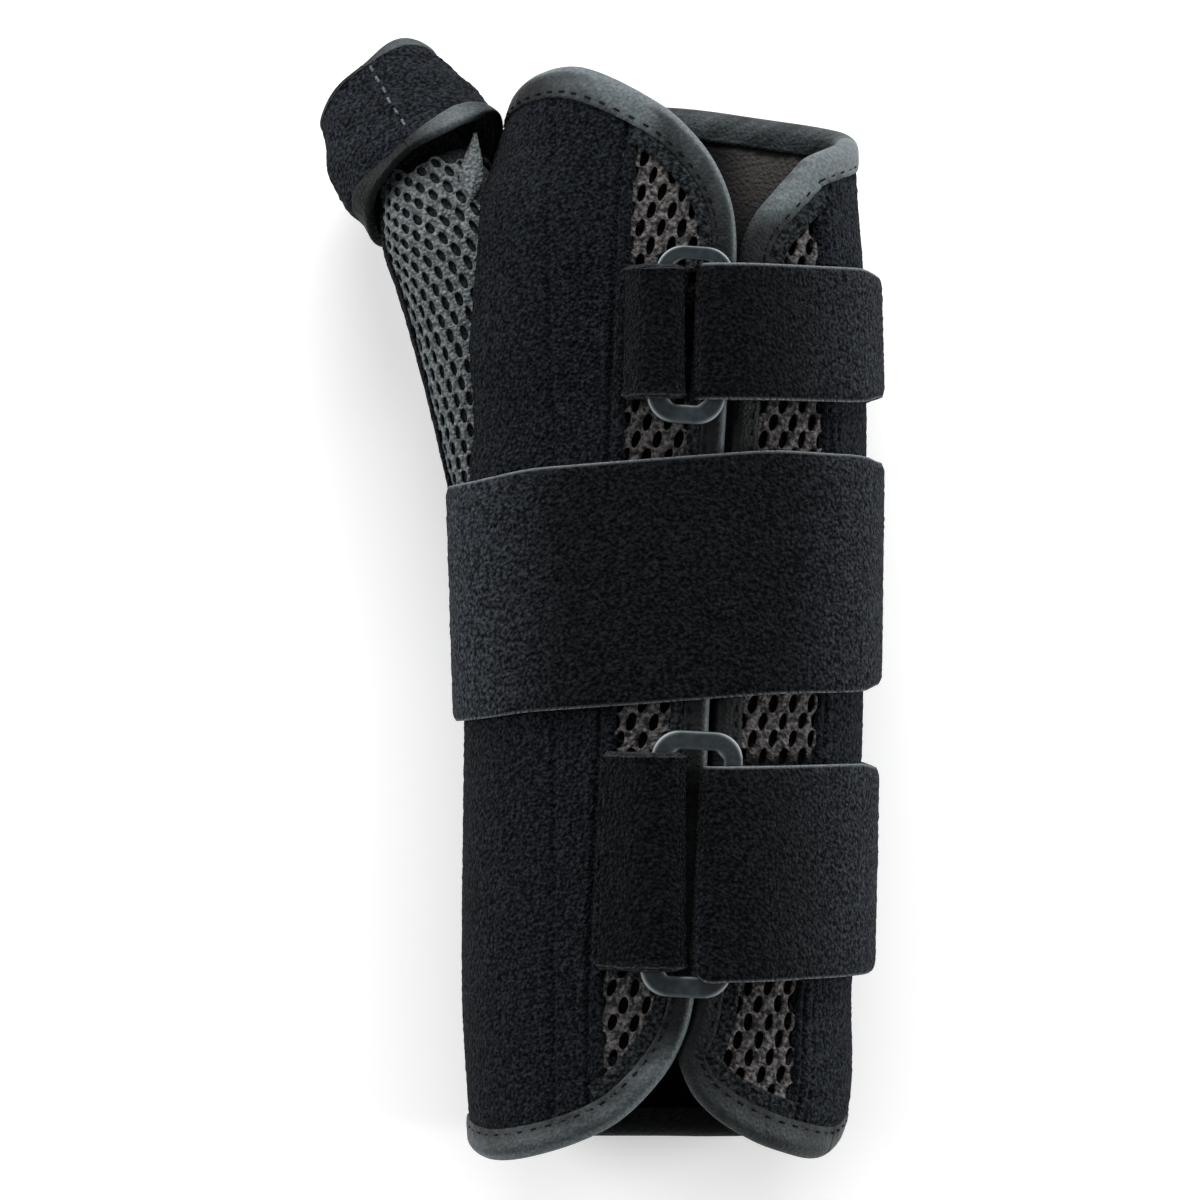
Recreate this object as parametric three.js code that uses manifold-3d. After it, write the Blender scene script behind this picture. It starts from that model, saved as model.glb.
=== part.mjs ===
// A wrist brace with a thumb cuff, closed and lying on its back with the closure facing up.
// Millimetres, +Z up, +Y towards the fingers, +X away from the thumb.

import * as THREE from "three";
import { mergeVertices } from "three/addons/utils/BufferGeometryUtils.js";
import Module from "manifold-3d";

const wasm = await Module();
wasm.setup();

// Cloth thicknesses and widths
const GAP = 0.3; // between neighbouring pieces
const WALL = 3.2; // whole wall of the body, from the outer face to the lining's inner face
const PILE = 1.3; // pile cloth of the back, outside the lining
const LINING = 1; // lining cloth inside the back
const LINING_ROOM = 0.3; // by which the lining stays short of the wall's inner face
const TAPE = 1; // binding tape
const TAPE_ROOM = 0.5; // between the folded tape and the cloth in it
const BOUND = 5.2; // width of a bound edge
const TAPE_CHAMFER = 0.8; // softened outer corners of the folded tape
const LAP_RISE = 0.9; // how far the left flap's free edge stands above the right flap's
const STRAP = 1.6; // one layer of strap
const FLOOR_LIFT = STRAP + GAP; // the body's back lies on the straps that pass beneath it

// Roundness of the body's sections: 2 is an ellipse, and more is squarer.
const TOP_ROUNDNESS = 2.3;
const BACK_ROUNDNESS = 2.3;
const TOP_SHARE = 0.53; // share of the depth that lies above the widest line
const FLATTENED = 1.2; // how much of the back is pressed flat where it rests
const MM_PER_DEGREE = 0.6; // about how much cloth one degree around the body takes up

// Outer silhouette of the body from above, and its depth, at stations from forearm to fingers.
const BODY_SECTIONS = [
  { y: -106, left: -24.3, right: 44, depth: 53 },
  { y: -95, left: -25.2, right: 47.6, depth: 52.6 },
  { y: -75, left: -26.3, right: 47.9, depth: 52 },
  { y: -25, left: -25.9, right: 50, depth: 50.5 },
  { y: 25, left: -25.5, right: 50.8, depth: 48.5 },
  { y: 57, left: -24.1, right: 50.5, depth: 47.5 },
  { y: 76, left: -22, right: 49.2, depth: 46.5 },
  { y: 88, left: -18.9, right: 48.5, depth: 46 },
  { y: 101, left: -13.8, right: 47.5, depth: 45.5 },
];

// Free edge of the left flap, from its seam at the forearm end round to its seam at the finger end.
// Rows that face up give x, and rows on the sides or back give degrees around from the top, +X positive.
const SEAM_AROUND = -92;
const LEFT_FLAP = [
  { around: SEAM_AROUND, y: -104.5 },
  { x: -20.2, y: -105.9 },
  { x: -10.1, y: -103.6 },
  { x: -0.6, y: -100, mark: "bottom seam" },
  { x: 7.6, y: -94 },
  { x: 14, y: -85.8 },
  { x: 17.1, y: -77.5, mark: "bottom corner" },
  { x: 18.8, y: -58 },
  { x: 20.5, y: -20.7 },
  { x: 22.7, y: 18.5 },
  { x: 24.7, y: 50.2 },
  { x: 25.6, y: 68, mark: "top corner" },
  { x: 24.4, y: 75.3 },
  { x: 21.2, y: 82.4 },
  { x: 15.3, y: 89.5 },
  { x: 6.9, y: 95.3, mark: "top seam" },
  { x: -5, y: 99.4 },
  { x: -12, y: 98.6 },
  { around: SEAM_AROUND, y: 94.3 },
];

// Free edge of the back and right flap, from the seam at the finger end round to the seam at the forearm end.
const BACK_SEAM_AROUND = SEAM_AROUND + 360;
const RIGHT_FLAP = [
  { around: BACK_SEAM_AROUND, y: 94.3 },
  { around: 242, y: 95.6, mark: "lining top" },
  { around: 180, y: 95.2 },
  { around: 135, y: 92.6 },
  { around: 88, y: 88, mark: "finger corner" },
  { x: 41.4, y: 84.5, mark: "top seam" },
  { x: 37.1, y: 80.4 },
  { x: 32.8, y: 75.9 },
  { x: 29.4, y: 71.9 },
  { x: 27, y: 66.6, mark: "top corner" },
  { x: 25.6, y: 50.2 },
  { x: 23.6, y: 18.5 },
  { x: 21.4, y: -20.7 },
  { x: 19.7, y: -58 },
  { x: 17.9, y: -77.8, mark: "bottom corner" },
  { x: 16.9, y: -84 },
  { x: 18, y: -91 },
  { x: 21.6, y: -96 },
  { x: 27, y: -100.4 },
  { x: 35.4, y: -103.4, mark: "bottom seam" },
  { around: 76, y: -105.5, mark: "forearm corner" },
  { around: 105, y: -104.6 },
  { around: 145, y: -104.5 },
  { around: 180, y: -104.5 },
  { around: 242, y: -104.5, mark: "lining bottom" },
  { around: BACK_SEAM_AROUND, y: -104.5 },
];

// The thumb's way out between the left panel and the back panel.
const THUMB_HOLE = { from: 20, to: 88, panelTurn: 17, backTurn: -15 };

// Mesh gusset that leads from the body to the thumb.
// Tilt leans it towards -X, and lean takes it towards the floor.
const GUSSET_SECTIONS = [
  { along: 0, x: -23.4, y: 23.2, z: 25.6, halfWidth: 5.6, halfDepth: 6.2, tilt: 8, lean: 0 },
  { along: 0.2, x: -23.4, y: 39, z: 26, halfWidth: 9.2, halfDepth: 9.2, tilt: 10, lean: 2 },
  { along: 0.46, x: -25.6, y: 60, z: 27, halfWidth: 12.6, halfDepth: 10.4, tilt: 16, lean: 8 },
  { along: 0.65, x: -29.8, y: 73, z: 27.4, halfWidth: 12.8, halfDepth: 8.6, tilt: 29, lean: 20 },
  { along: 0.8, x: -33.8, y: 81.6, z: 24.4, halfWidth: 9.8, halfDepth: 7.4, tilt: 36, lean: 28 },
  { along: 1, x: -39.4, y: 90, z: 18.8, halfWidth: 9, halfDepth: 6.6, tilt: 36, lean: 30 },
];
const GUSSET_WALL = 1.6;
const GUSSET_SIDE = 95; // degrees around the thumb where the mesh meets the cloth behind it

// Cuff round the thumb, from its wide lower rim to its upper rim.
const CUFF_SECTIONS = [
  { along: 0, x: -33.7, y: 79, z: 25.8, halfWidth: 15.8, halfDepth: 12.6, tilt: 38, lean: 30 },
  { along: 0.5, x: -39.2, y: 88.1, z: 19.9, halfWidth: 13.9, halfDepth: 10.8, tilt: 36, lean: 30 },
  { along: 1, x: -43.8, y: 97, z: 14.4, halfWidth: 11.2, halfDepth: 8.8, tilt: 34, lean: 30 },
];
const CUFF_LENGTH = 23.6;
const CUFF_WALL = 2;
const CUFF_SIDES = 22;

// Closures: a sewn tab, a flat loop and a strap that doubles back through it.
const CLOSURES = [
  {
    name: "upper", y: 49.6, ringX: 17.1, ringHeight: 33.2,
    strapY: 49.6, strap: 25.4, tabY: 49.6, tab: 25, tabStart: 4.3,
  },
  {
    name: "lower", y: -49.8, ringX: 16.9, ringHeight: 50.2,
    strapY: -50.7, strap: 39, tabY: -49.2, tab: 40, tabStart: -0.6,
  },
];
const RING = { width: 15.4, bar: 3.1, endBar: 3.3, thickness: 2.4, corner: 4.4, edge: 0.5 };
const RING_SLANT = -3; // degrees by which a loop leans across the brace
const RING_OUT = 6; // middle of a loop above the body's outer face
const FOLD = { reach: 1.5, half: 2.35, straight: 3.7, tail: 8.4, lead: 13, drop: 1.6 };
const STRAP_SEWN_AROUND = 222; // where each closing strap is sewn, under the back
const STRAP_LIFT_AROUND = 58; // where it leaves the body for the loop
const STRAP_END_AROUND = 128; // where its free end stops, low on the right side
const MIDDLE_STRAP = { y: 1.8, width: 44.5, slope: 0.078, from: 74, to: 492, lapFrom: 395, lapTo: 430 };

const PILE_COLOUR = 0x16191c;
const MESH_COLOUR = 0x4a4543;
const THUMB_MESH_COLOUR = 0x5f6466;
const LINING_COLOUR = 0x252120;
const TAPE_COLOUR = 0x3c4245;
const RING_COLOUR = 0x2a2f31;

const { clamp, degToRad, lerp, smoothstep } = THREE.MathUtils;

// Value of a table's column at a place along its key column, on a smooth curve through the rows.
function smooth(rows, key, column, at) {
  const above = rows.findIndex((row) => row[key] >= at);
  const found = above < 0 ? rows.length - 1 : above;
  const i = clamp(found - 1, 0, rows.length - 2);
  const start = rows[i];
  const end = rows[i + 1];
  const before = rows[Math.max(i - 1, 0)];
  const after = rows[Math.min(i + 2, rows.length - 1)];
  const span = end[key] - start[key];
  const t = clamp((at - start[key]) / span, 0, 1);
  const startSlope = (end[column] - before[column]) / (end[key] - before[key]);
  const endSlope = (after[column] - start[column]) / (after[key] - start[key]);
  const blend = t * t * (3 - 2 * t);
  const bend = startSlope * t * (1 - t) ** 2 - endSlope * t * t * (1 - t);
  return lerp(start[column], end[column], blend) + span * bend;
}

// Centre, half sizes and widest level of the body at one station.
function bodySection(y) {
  const left = smooth(BODY_SECTIONS, "y", "left", y);
  const right = smooth(BODY_SECTIONS, "y", "right", y);
  const depth = smooth(BODY_SECTIONS, "y", "depth", y);
  return {
    x: (left + right) / 2,
    level: FLOOR_LIFT + depth * (1 - TOP_SHARE),
    halfWidth: (right - left) / 2,
    top: depth * TOP_SHARE,
    back: depth * (1 - TOP_SHARE) + FLATTENED,
  };
}

// Point on the body, by degrees around from the top, station, and distance outside the pile face.
function bodyPoint(around, y, out) {
  const section = bodySection(y);
  const angle = degToRad(around);
  const facesUp = Math.cos(angle) >= 0;
  const power = facesUp ? TOP_ROUNDNESS : BACK_ROUNDNESS;
  const half = facesUp ? section.top : section.back;
  const acrossShare = Math.abs(Math.sin(angle)) / section.halfWidth;
  const upShare = Math.abs(Math.cos(angle)) / half;
  const radius = (acrossShare ** power + upShare ** power) ** (-1 / power);
  const normal = new THREE.Vector2(
    (Math.sign(Math.sin(angle)) * (acrossShare * radius) ** (power - 1)) / section.halfWidth,
    (Math.sign(Math.cos(angle)) * (upShare * radius) ** (power - 1)) / half,
  ).normalize();
  const x = section.x + radius * Math.sin(angle) + out * normal.x;
  const z = section.level + radius * Math.cos(angle) + out * normal.y;
  return new THREE.Vector3(x, y, Math.max(z, FLOOR_LIFT - out));
}

// Degrees around at which the upward side of the body has this x.
function aroundAt(x, y) {
  const section = bodySection(y);
  const share = clamp((x - section.x) / section.halfWidth, -1, 1);
  const height = section.top * (1 - Math.abs(share) ** TOP_ROUNDNESS) ** (1 / TOP_ROUNDNESS);
  return THREE.MathUtils.radToDeg(Math.atan2(share * section.halfWidth, height));
}

// The left flap rises towards its free edge, to lie over the right flap.
function lapRise(around) {
  return LAP_RISE * smoothstep(around, -45, 8);
}

// A flap's free edge as a curve in the flat pattern, whose x is cloth around the body and y the station.
function patternCurve(rows) {
  const points = rows.map((row) => {
    const around = row.around ?? aroundAt(row.x, row.y);
    return new THREE.Vector3(around * MM_PER_DEGREE, row.y, 0);
  });
  return new THREE.CatmullRomCurve3(points, false, "centripetal");
}

const leftEdge = patternCurve(LEFT_FLAP);
const rightEdge = patternCurve(RIGHT_FLAP);

// Place along a flap's edge curve at which a row is marked.
function markAt(rows, mark) {
  return rows.findIndex((row) => row.mark === mark) / (rows.length - 1);
}

// A stretch of an edge curve, moved into the flap, as a function from 0 to 1.
function edgeStretch(curve, from, to, inset) {
  return (t) => {
    const at = lerp(from, to, t);
    const tangent = curve.getTangent(at);
    return curve.getPoint(at).add(new THREE.Vector3(-tangent.y, tangent.x, 0).multiplyScalar(inset));
  };
}

// A straight seam in the pattern between two points.
function seamLine(bottom, top) {
  return (t) => new THREE.Vector3().lerpVectors(bottom, top, t);
}

// The side seam, which draws back beside the thumb hole.
function sideSeam(bottom, top, turn) {
  return (t) => {
    const point = seamLine(bottom, top)(t);
    const { from, to } = THUMB_HOLE;
    const third = (to - from) / 3;
    const open = smoothstep(point.y, from, from + third) * (1 - smoothstep(point.y, to - third, to));
    point.x += turn * open * MM_PER_DEGREE;
    return point;
  };
}

// Cloth spread between four sides in the pattern, then wrapped on the body between two distances.
// Its rows lie closer together towards the ends, where the body narrows.
function wrappedCloth(sides, inner, outer, columns, rows, rise) {
  const geometry = new THREE.BoxGeometry(1, 1, 1, columns, rows, 1).translate(0.5, 0.5, 0.5);
  const between = (start, end, share) => new THREE.Vector3().lerpVectors(start, end, share);
  const width = sides.left(0.5).distanceTo(sides.right(0.5));
  return bendGeometry(geometry, (column, row, h) => {
    const t = (1 - Math.cos(Math.PI * row)) / 2;
    const s = lerp((sides.trimLeft ?? 0) / width, 1 - (sides.trimRight ?? 0) / width, column);
    const bottomCorners = between(sides.left(0), sides.right(0), s);
    const topCorners = between(sides.left(1), sides.right(1), s);
    const place = between(sides.left(t), sides.right(t), s);
    place.add(between(sides.bottom(s), sides.top(s), t));
    place.sub(between(bottomCorners, topCorners, t));
    const around = place.x / MM_PER_DEGREE;
    return bodyPoint(around, place.y, lerp(inner, outer, h) + rise(around));
  });
}

// Moves every point of a geometry and leaves only positions.
function bendGeometry(geometry, move) {
  geometry.deleteAttribute("normal");
  geometry.deleteAttribute("uv");
  const merged = mergeVertices(geometry, 1e-5);
  const position = merged.getAttribute("position");
  for (let i = 0; i < position.count; i += 1) {
    const moved = move(position.getX(i), position.getY(i), position.getZ(i));
    position.setXYZ(i, moved.x, moved.y, moved.z);
  }
  return mergeVertices(merged, 1e-4);
}

// Tape folded over an edge of some thickness, as a section: x runs into the cloth and y outwards.
function tapeSection(thickness) {
  const inside = thickness / 2 + TAPE_ROOM;
  const outside = inside + TAPE;
  return new THREE.Shape(
    [
      [0, TAPE_CHAMFER - outside],
      [TAPE_CHAMFER, -outside],
      [BOUND, -outside],
      [BOUND, -inside],
      [TAPE, -inside],
      [TAPE, inside],
      [BOUND, inside],
      [BOUND, outside],
      [TAPE_CHAMFER, outside],
      [0, outside - TAPE_CHAMFER],
    ].map(([x, y]) => new THREE.Vector2(x, y)),
  );
}

// Folded tape along a stretch of a flap's edge.
function edgeBinding(curve, from, to, steps, rise) {
  const geometry = new THREE.ExtrudeGeometry(tapeSection(WALL), { depth: 1, steps, bevelEnabled: false });
  return bendGeometry(geometry, (into, outward, t) => {
    const at = lerp(from, to, t);
    const place = edgeStretch(curve, at, at, into)(0);
    const around = place.x / MM_PER_DEGREE;
    return bodyPoint(around, place.y, outward - WALL / 2 + rise(around));
  });
}

// Point on a thumb form, by degrees around from its upward side, place along it, and distance outside.
function thumbPoint(sections, around, along, out) {
  const at = (column) => smooth(sections, "along", column, along);
  const angle = degToRad(around);
  const tilt = degToRad(at("tilt"));
  const lean = degToRad(at("lean"));
  const across = new THREE.Vector3(Math.cos(tilt), Math.sin(tilt), 0);
  const upward = new THREE.Vector3(
    -Math.sin(tilt) * Math.sin(lean),
    Math.cos(tilt) * Math.sin(lean),
    Math.cos(lean),
  );
  const halfWidth = at("halfWidth");
  const halfDepth = at("halfDepth");
  const normal = new THREE.Vector2(Math.sin(angle) / halfWidth, Math.cos(angle) / halfDepth).normalize();
  return new THREE.Vector3(at("x"), at("y"), at("z"))
    .addScaledVector(across, halfWidth * Math.sin(angle) + out * normal.x)
    .addScaledVector(upward, halfDepth * Math.cos(angle) + out * normal.y);
}

// A closed solid from a geometry that holds only merged positions, and back again.
function toSolid(geometry) {
  return new wasm.Manifold(
    new wasm.Mesh({
      numProp: 3,
      vertProperties: geometry.getAttribute("position").array,
      triVerts: new Uint32Array(geometry.index.array),
    }),
  );
}

function toGeometry(solid) {
  const mesh = solid.getMesh();
  return new THREE.BufferGeometry()
    .setAttribute("position", new THREE.BufferAttribute(mesh.vertProperties, 3))
    .setIndex(new THREE.BufferAttribute(mesh.triVerts, 1));
}

// The whole space that the body takes up, with a gap round it.
function bodySpace() {
  const geometry = new THREE.CylinderGeometry(1, 1, 1, 64, 24);
  const { y: bottom } = BODY_SECTIONS.at(0);
  const { y: top } = BODY_SECTIONS.at(-1);
  return bendGeometry(geometry, (x, height, z) => {
    const y = lerp(bottom, top, height + 0.5);
    const section = bodySection(y);
    const centre = new THREE.Vector3(section.x, y, section.level);
    const around = THREE.MathUtils.radToDeg(Math.atan2(x, z));
    return centre.lerp(bodyPoint(around, y, GAP), Math.hypot(x, z));
  });
}

// One half of the gusset, cut back to the outside of the body.
function gussetHalf(from, to) {
  const geometry = new THREE.BoxGeometry(1, 1, 1, 10, 9, 1).translate(0.5, 0.5, 0.5);
  const wrapped = bendGeometry(geometry, (s, t, h) =>
    thumbPoint(GUSSET_SECTIONS, lerp(from, to, s), t, (h - 1) * GUSSET_WALL),
  );
  const pieces = toSolid(wrapped).subtract(toSolid(bodySpace())).decompose();
  pieces.sort((a, b) => b.volume() - a.volume());
  return toGeometry(pieces[0]);
}

// A ring round the cuff from a closed section, whose points give distance outside and place along in mm.
function cuffRing(section, sides) {
  const hub = 20;
  const points = section.map(([out, along]) => new THREE.Vector2(hub + out, along));
  points.push(points[0].clone());
  return bendGeometry(new THREE.LatheGeometry(points, sides), (x, along, z) => {
    const around = THREE.MathUtils.radToDeg(Math.atan2(x, z));
    const out = Math.hypot(x, z) - hub;
    return thumbPoint(CUFF_SECTIONS, around, along / CUFF_LENGTH, out);
  });
}

function cuffWall() {
  const low = TAPE + GAP;
  const high = CUFF_LENGTH - TAPE - GAP;
  const middle = CUFF_LENGTH / 2;
  const outside = [low, middle, high].map((along) => [0, along]);
  const inside = [high, middle, low].map((along) => [-CUFF_WALL, along]);
  return cuffRing([...outside, ...inside], CUFF_SIDES);
}

// Tape over one rim of the cuff. It reaches into the cuff from the rim, upwards or downwards.
function cuffBinding(rim, reach) {
  const flat = tapeSection(CUFF_WALL).getPoints();
  const section = flat.map(({ x, y }) => [y - CUFF_WALL / 2, rim + reach * x]);
  return cuffRing(reach > 0 ? section.reverse() : section, CUFF_SIDES);
}

// A strap whose two long edges follow paths. Each path is worked out for its own station.
// What lies under the back is pressed flat on the floor.
function strapAlong(pathPoints, width, y, steps) {
  const path = (edge) => {
    const curve = new THREE.CatmullRomCurve3(pathPoints(y + edge * width), false, "centripetal");
    curve.arcLengthDivisions = 600;
    return curve;
  };
  const lowEdge = path(-0.5);
  const highEdge = path(0.5);
  const widthways = new THREE.Vector3(0, 1, 0);
  const geometry = new THREE.BoxGeometry(1, 1, 1, steps, 1, 1).translate(0.5, 0, 0);
  return bendGeometry(geometry, (t, edge, h) => {
    const curve = edge < 0 ? lowEdge : highEdge;
    const outward = new THREE.Vector3().crossVectors(curve.getTangentAt(t), widthways).normalize();
    const point = curve.getPointAt(t).addScaledVector(outward, h * STRAP);
    return point.setZ(Math.max(point.z, 0));
  });
}

// Points on the body at even turns, at the middle of a strap's thickness. Slope takes the strap askew.
function strapPoints(from, to, count, y, out, slope = 0) {
  return Array.from({ length: count }, (unused, i) => {
    const around = lerp(from, to, i / (count - 1));
    const askew = slope * (bodyPoint(around, y, 0).x - bodySection(y).x);
    return bodyPoint(around, y + askew, out(around) + STRAP / 2);
  });
}

// The frame of a closure's loop: its middle, the way around the body, and the way out.
function ringFrame(closure) {
  const around = aroundAt(closure.ringX, closure.y);
  const centre = bodyPoint(around, closure.y, RING_OUT);
  const outward = bodyPoint(around, closure.y, 1).sub(bodyPoint(around, closure.y, 0)).normalize();
  const sideways = new THREE.Vector3(outward.z, 0, -outward.x);
  const at = (side, out) => centre.clone().addScaledVector(sideways, side).addScaledVector(outward, out);
  return { centre, outward, at };
}

// A fold round one long bar of the loop, from its inner layer to its outer layer.
function foldPoints(frame, side, y) {
  return [
    frame.at(side * FOLD.tail, -FOLD.half).setY(y),
    frame.at(side * FOLD.straight, -FOLD.half).setY(y),
    frame.at(side * FOLD.reach, 0).setY(y),
    frame.at(side * FOLD.straight, FOLD.half).setY(y),
    frame.at(side * FOLD.tail, FOLD.half).setY(y),
  ];
}

function closingStrap(closure) {
  const frame = ringFrame(closure);
  const inner = () => GAP;
  const outer = () => STRAP + 2 * GAP;
  const points = (y) => [
    ...strapPoints(STRAP_SEWN_AROUND, STRAP_LIFT_AROUND, 15, y, inner),
    frame.at(FOLD.lead, -FOLD.half - FOLD.drop).setY(y),
    ...foldPoints(frame, 1, y),
    frame.at(FOLD.lead, FOLD.half - FOLD.drop).setY(y),
    ...strapPoints(STRAP_LIFT_AROUND, STRAP_END_AROUND, 6, y, outer),
  ];
  return strapAlong(points, closure.strap, closure.strapY, 70);
}

function sewnTab(closure) {
  const frame = ringFrame(closure);
  const start = aroundAt(closure.tabStart, closure.y);
  const onFlap = (y, out) => bodyPoint(start, y, lapRise(start) + out + STRAP / 2);
  const points = (y) => [onFlap(y, GAP), ...foldPoints(frame, -1, y), onFlap(y, STRAP + 2 * GAP)];
  return strapAlong(points, closure.tab, closure.tabY, 36);
}

// Rounded rectangle, as a closed outline.
function roundedOutline(outline, width, height, corner) {
  const x = width / 2 - corner;
  const y = height / 2 - corner;
  outline.absarc(x, y, corner, 0, Math.PI / 2);
  outline.absarc(-x, y, corner, Math.PI / 2, Math.PI);
  outline.absarc(-x, -y, corner, Math.PI, 1.5 * Math.PI);
  outline.absarc(x, -y, corner, 1.5 * Math.PI, 2 * Math.PI);
  outline.closePath();
  return outline;
}

function loopPlate(closure) {
  const shape = roundedOutline(new THREE.Shape(), RING.width, closure.ringHeight, RING.corner);
  const slotWidth = RING.width - 2 * RING.bar;
  const slotHeight = closure.ringHeight - 2 * RING.endBar;
  shape.holes.push(roundedOutline(new THREE.Path(), slotWidth, slotHeight, RING.corner - RING.bar / 2));
  const geometry = new THREE.ExtrudeGeometry(shape, {
    depth: RING.thickness - 2 * RING.edge,
    bevelThickness: RING.edge,
    bevelSize: RING.edge,
    bevelOffset: -RING.edge,
    bevelSegments: 1,
    curveSegments: 3,
  });
  geometry.translate(0, 0, RING.edge - RING.thickness / 2);
  return bendGeometry(geometry, (x, y, z) => new THREE.Vector3(x, y, z));
}

// The wide strap clears the lapped flaps at the front and laps itself on the right.
function middleStrap() {
  const { y, width, slope, from, to, lapFrom, lapTo } = MIDDLE_STRAP;
  const out = (around) => {
    const turned = around - 360;
    const overFlap = smoothstep(turned, -70, 0) * (1 - smoothstep(turned, 26, 66));
    const overItself = smoothstep(around, lapFrom, lapTo);
    return GAP + overFlap * (LAP_RISE + TAPE + GAP) + overItself * (STRAP + GAP);
  };
  return strapAlong((edgeY) => strapPoints(from, to, 47, edgeY, out, slope), width, y, 70);
}

const brace = new THREE.Group();

function addPiece(name, geometry, color, roughness) {
  const material = new THREE.MeshStandardMaterial({ color, roughness, metalness: 0 });
  const mesh = new THREE.Mesh(geometry, material);
  mesh.name = name;
  brace.add(mesh);
  return mesh;
}

// Body panels
const inset = TAPE + GAP;
const noRise = () => 0;
const leftMark = (mark) => markAt(LEFT_FLAP, mark);
const rightMark = (mark) => markAt(RIGHT_FLAP, mark);
const leftStretch = (from, to) => edgeStretch(leftEdge, from, to, inset);
const rightStretch = (from, to) => edgeStretch(rightEdge, from, to, inset);
const leftInset = (at) => leftStretch(at, at)(0);
const rightInset = (at) => rightStretch(at, at)(0);

const frontSeam = seamLine(leftInset(leftMark("bottom seam")), leftInset(leftMark("top seam")));
const leftPanel = {
  left: sideSeam(leftInset(0), leftInset(1), THUMB_HOLE.panelTurn),
  right: frontSeam,
  bottom: leftStretch(0, leftMark("bottom seam")),
  top: leftStretch(1, leftMark("top seam")),
  trimRight: GAP / 2,
};
addPiece("left_panel", wrappedCloth(leftPanel, -WALL, 0, 10, 16, lapRise), PILE_COLOUR, 0.95);

const leftMesh = {
  left: frontSeam,
  right: leftStretch(leftMark("bottom corner"), leftMark("top corner")),
  bottom: leftStretch(leftMark("bottom seam"), leftMark("bottom corner")),
  top: leftStretch(leftMark("top seam"), leftMark("top corner")),
  trimLeft: GAP / 2,
};
addPiece("left_mesh", wrappedCloth(leftMesh, -WALL, 0, 6, 16, lapRise), MESH_COLOUR, 0.9);

const rightSeam = seamLine(rightInset(rightMark("bottom seam")), rightInset(rightMark("top seam")));
const rightMesh = {
  left: rightStretch(rightMark("bottom corner"), rightMark("top corner")),
  right: rightSeam,
  bottom: rightStretch(rightMark("bottom corner"), rightMark("bottom seam")),
  top: rightStretch(rightMark("top corner"), rightMark("top seam")),
  trimRight: GAP / 2,
};
addPiece("right_mesh", wrappedCloth(rightMesh, -PILE, 0, 6, 16, noRise), MESH_COLOUR, 0.9);

const backPanel = {
  left: rightSeam,
  right: sideSeam(rightInset(1), rightInset(0), THUMB_HOLE.backTurn),
  bottom: rightStretch(rightMark("bottom seam"), 1),
  top: rightStretch(rightMark("top seam"), 0),
  trimLeft: GAP / 2,
  trimRight: GAP,
};
addPiece("back_panel", wrappedCloth(backPanel, -PILE, 0, 26, 12, noRise), PILE_COLOUR, 0.95);

const liningFace = LINING_ROOM - WALL;
const lining = {
  left: rightMesh.left,
  right: seamLine(rightInset(rightMark("lining bottom")), rightInset(rightMark("lining top"))),
  bottom: rightStretch(rightMark("bottom corner"), rightMark("lining bottom")),
  top: rightStretch(rightMark("top corner"), rightMark("lining top")),
};
addPiece("lining", wrappedCloth(lining, liningFace, liningFace + LINING, 28, 10, noRise), LINING_COLOUR, 0.9);

// Bound edges
const fingerCorner = rightMark("finger corner");
const forearmCorner = rightMark("forearm corner");
const BINDINGS = [
  { name: "left_binding", edge: leftEdge, from: 0, to: 1, steps: 46, rise: lapRise },
  { name: "back_top_binding", edge: rightEdge, from: 0, to: fingerCorner, steps: 22, rise: noRise },
  { name: "right_binding", edge: rightEdge, from: fingerCorner, to: forearmCorner, steps: 38, rise: noRise },
  { name: "back_bottom_binding", edge: rightEdge, from: forearmCorner, to: 1, steps: 24, rise: noRise },
];
const ENDS_APART = 0.0015; // share of an edge left free at each end of its tape
for (const { name, edge, from, to, steps, rise } of BINDINGS) {
  addPiece(name, edgeBinding(edge, from + ENDS_APART, to - ENDS_APART, steps, rise), TAPE_COLOUR, 0.6);
}

// Thumb
addPiece("thumb_mesh", gussetHalf(-GUSSET_SIDE, GUSSET_SIDE), THUMB_MESH_COLOUR, 0.9);
addPiece("thumb_back", gussetHalf(GUSSET_SIDE + 1.6, 360 - GUSSET_SIDE - 1.6), PILE_COLOUR, 0.95);
addPiece("thumb_cuff", cuffWall(), PILE_COLOUR, 0.95);
addPiece("cuff_lower_binding", cuffBinding(0, 1), TAPE_COLOUR, 0.6);
addPiece("cuff_top_binding", cuffBinding(CUFF_LENGTH, -1), TAPE_COLOUR, 0.6);

// Straps and loops
for (const closure of CLOSURES) {
  addPiece(`${closure.name}_chafe`, sewnTab(closure), PILE_COLOUR, 0.9);
  addPiece(`${closure.name}_strap`, closingStrap(closure), PILE_COLOUR, 0.9);
  const loop = addPiece(`${closure.name}_ring`, loopPlate(closure), RING_COLOUR, 0.4);
  const frame = ringFrame(closure);
  loop.position.copy(frame.centre).setY(closure.y);
  loop.rotation.set(0, Math.atan2(frame.outward.x, frame.outward.z), degToRad(RING_SLANT), "YXZ");
}
addPiece("middle_strap", middleStrap(), PILE_COLOUR, 0.9);

// The part's origin is at the bottom centre of its bounding box.
const box = new THREE.Box3().setFromObject(brace);
const centre = box.getCenter(new THREE.Vector3());
for (const piece of brace.children) {
  piece.position.sub(new THREE.Vector3(centre.x, centre.y, box.min.z));
}

export default brace;
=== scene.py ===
# %% [markdown]
# # A wrist brace with a thumb cuff
# A wrist brace is a padded sleeve that laps shut along the back of the hand. Straps pull it tight through
# plastic loops. This lesson builds the look of every cloth piece on top of the measured solids, with the
# brace lying on its back and its closure facing up.

import math

import bmesh
import bpy
import numpy as np
from mathutils import Matrix, Vector


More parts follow.
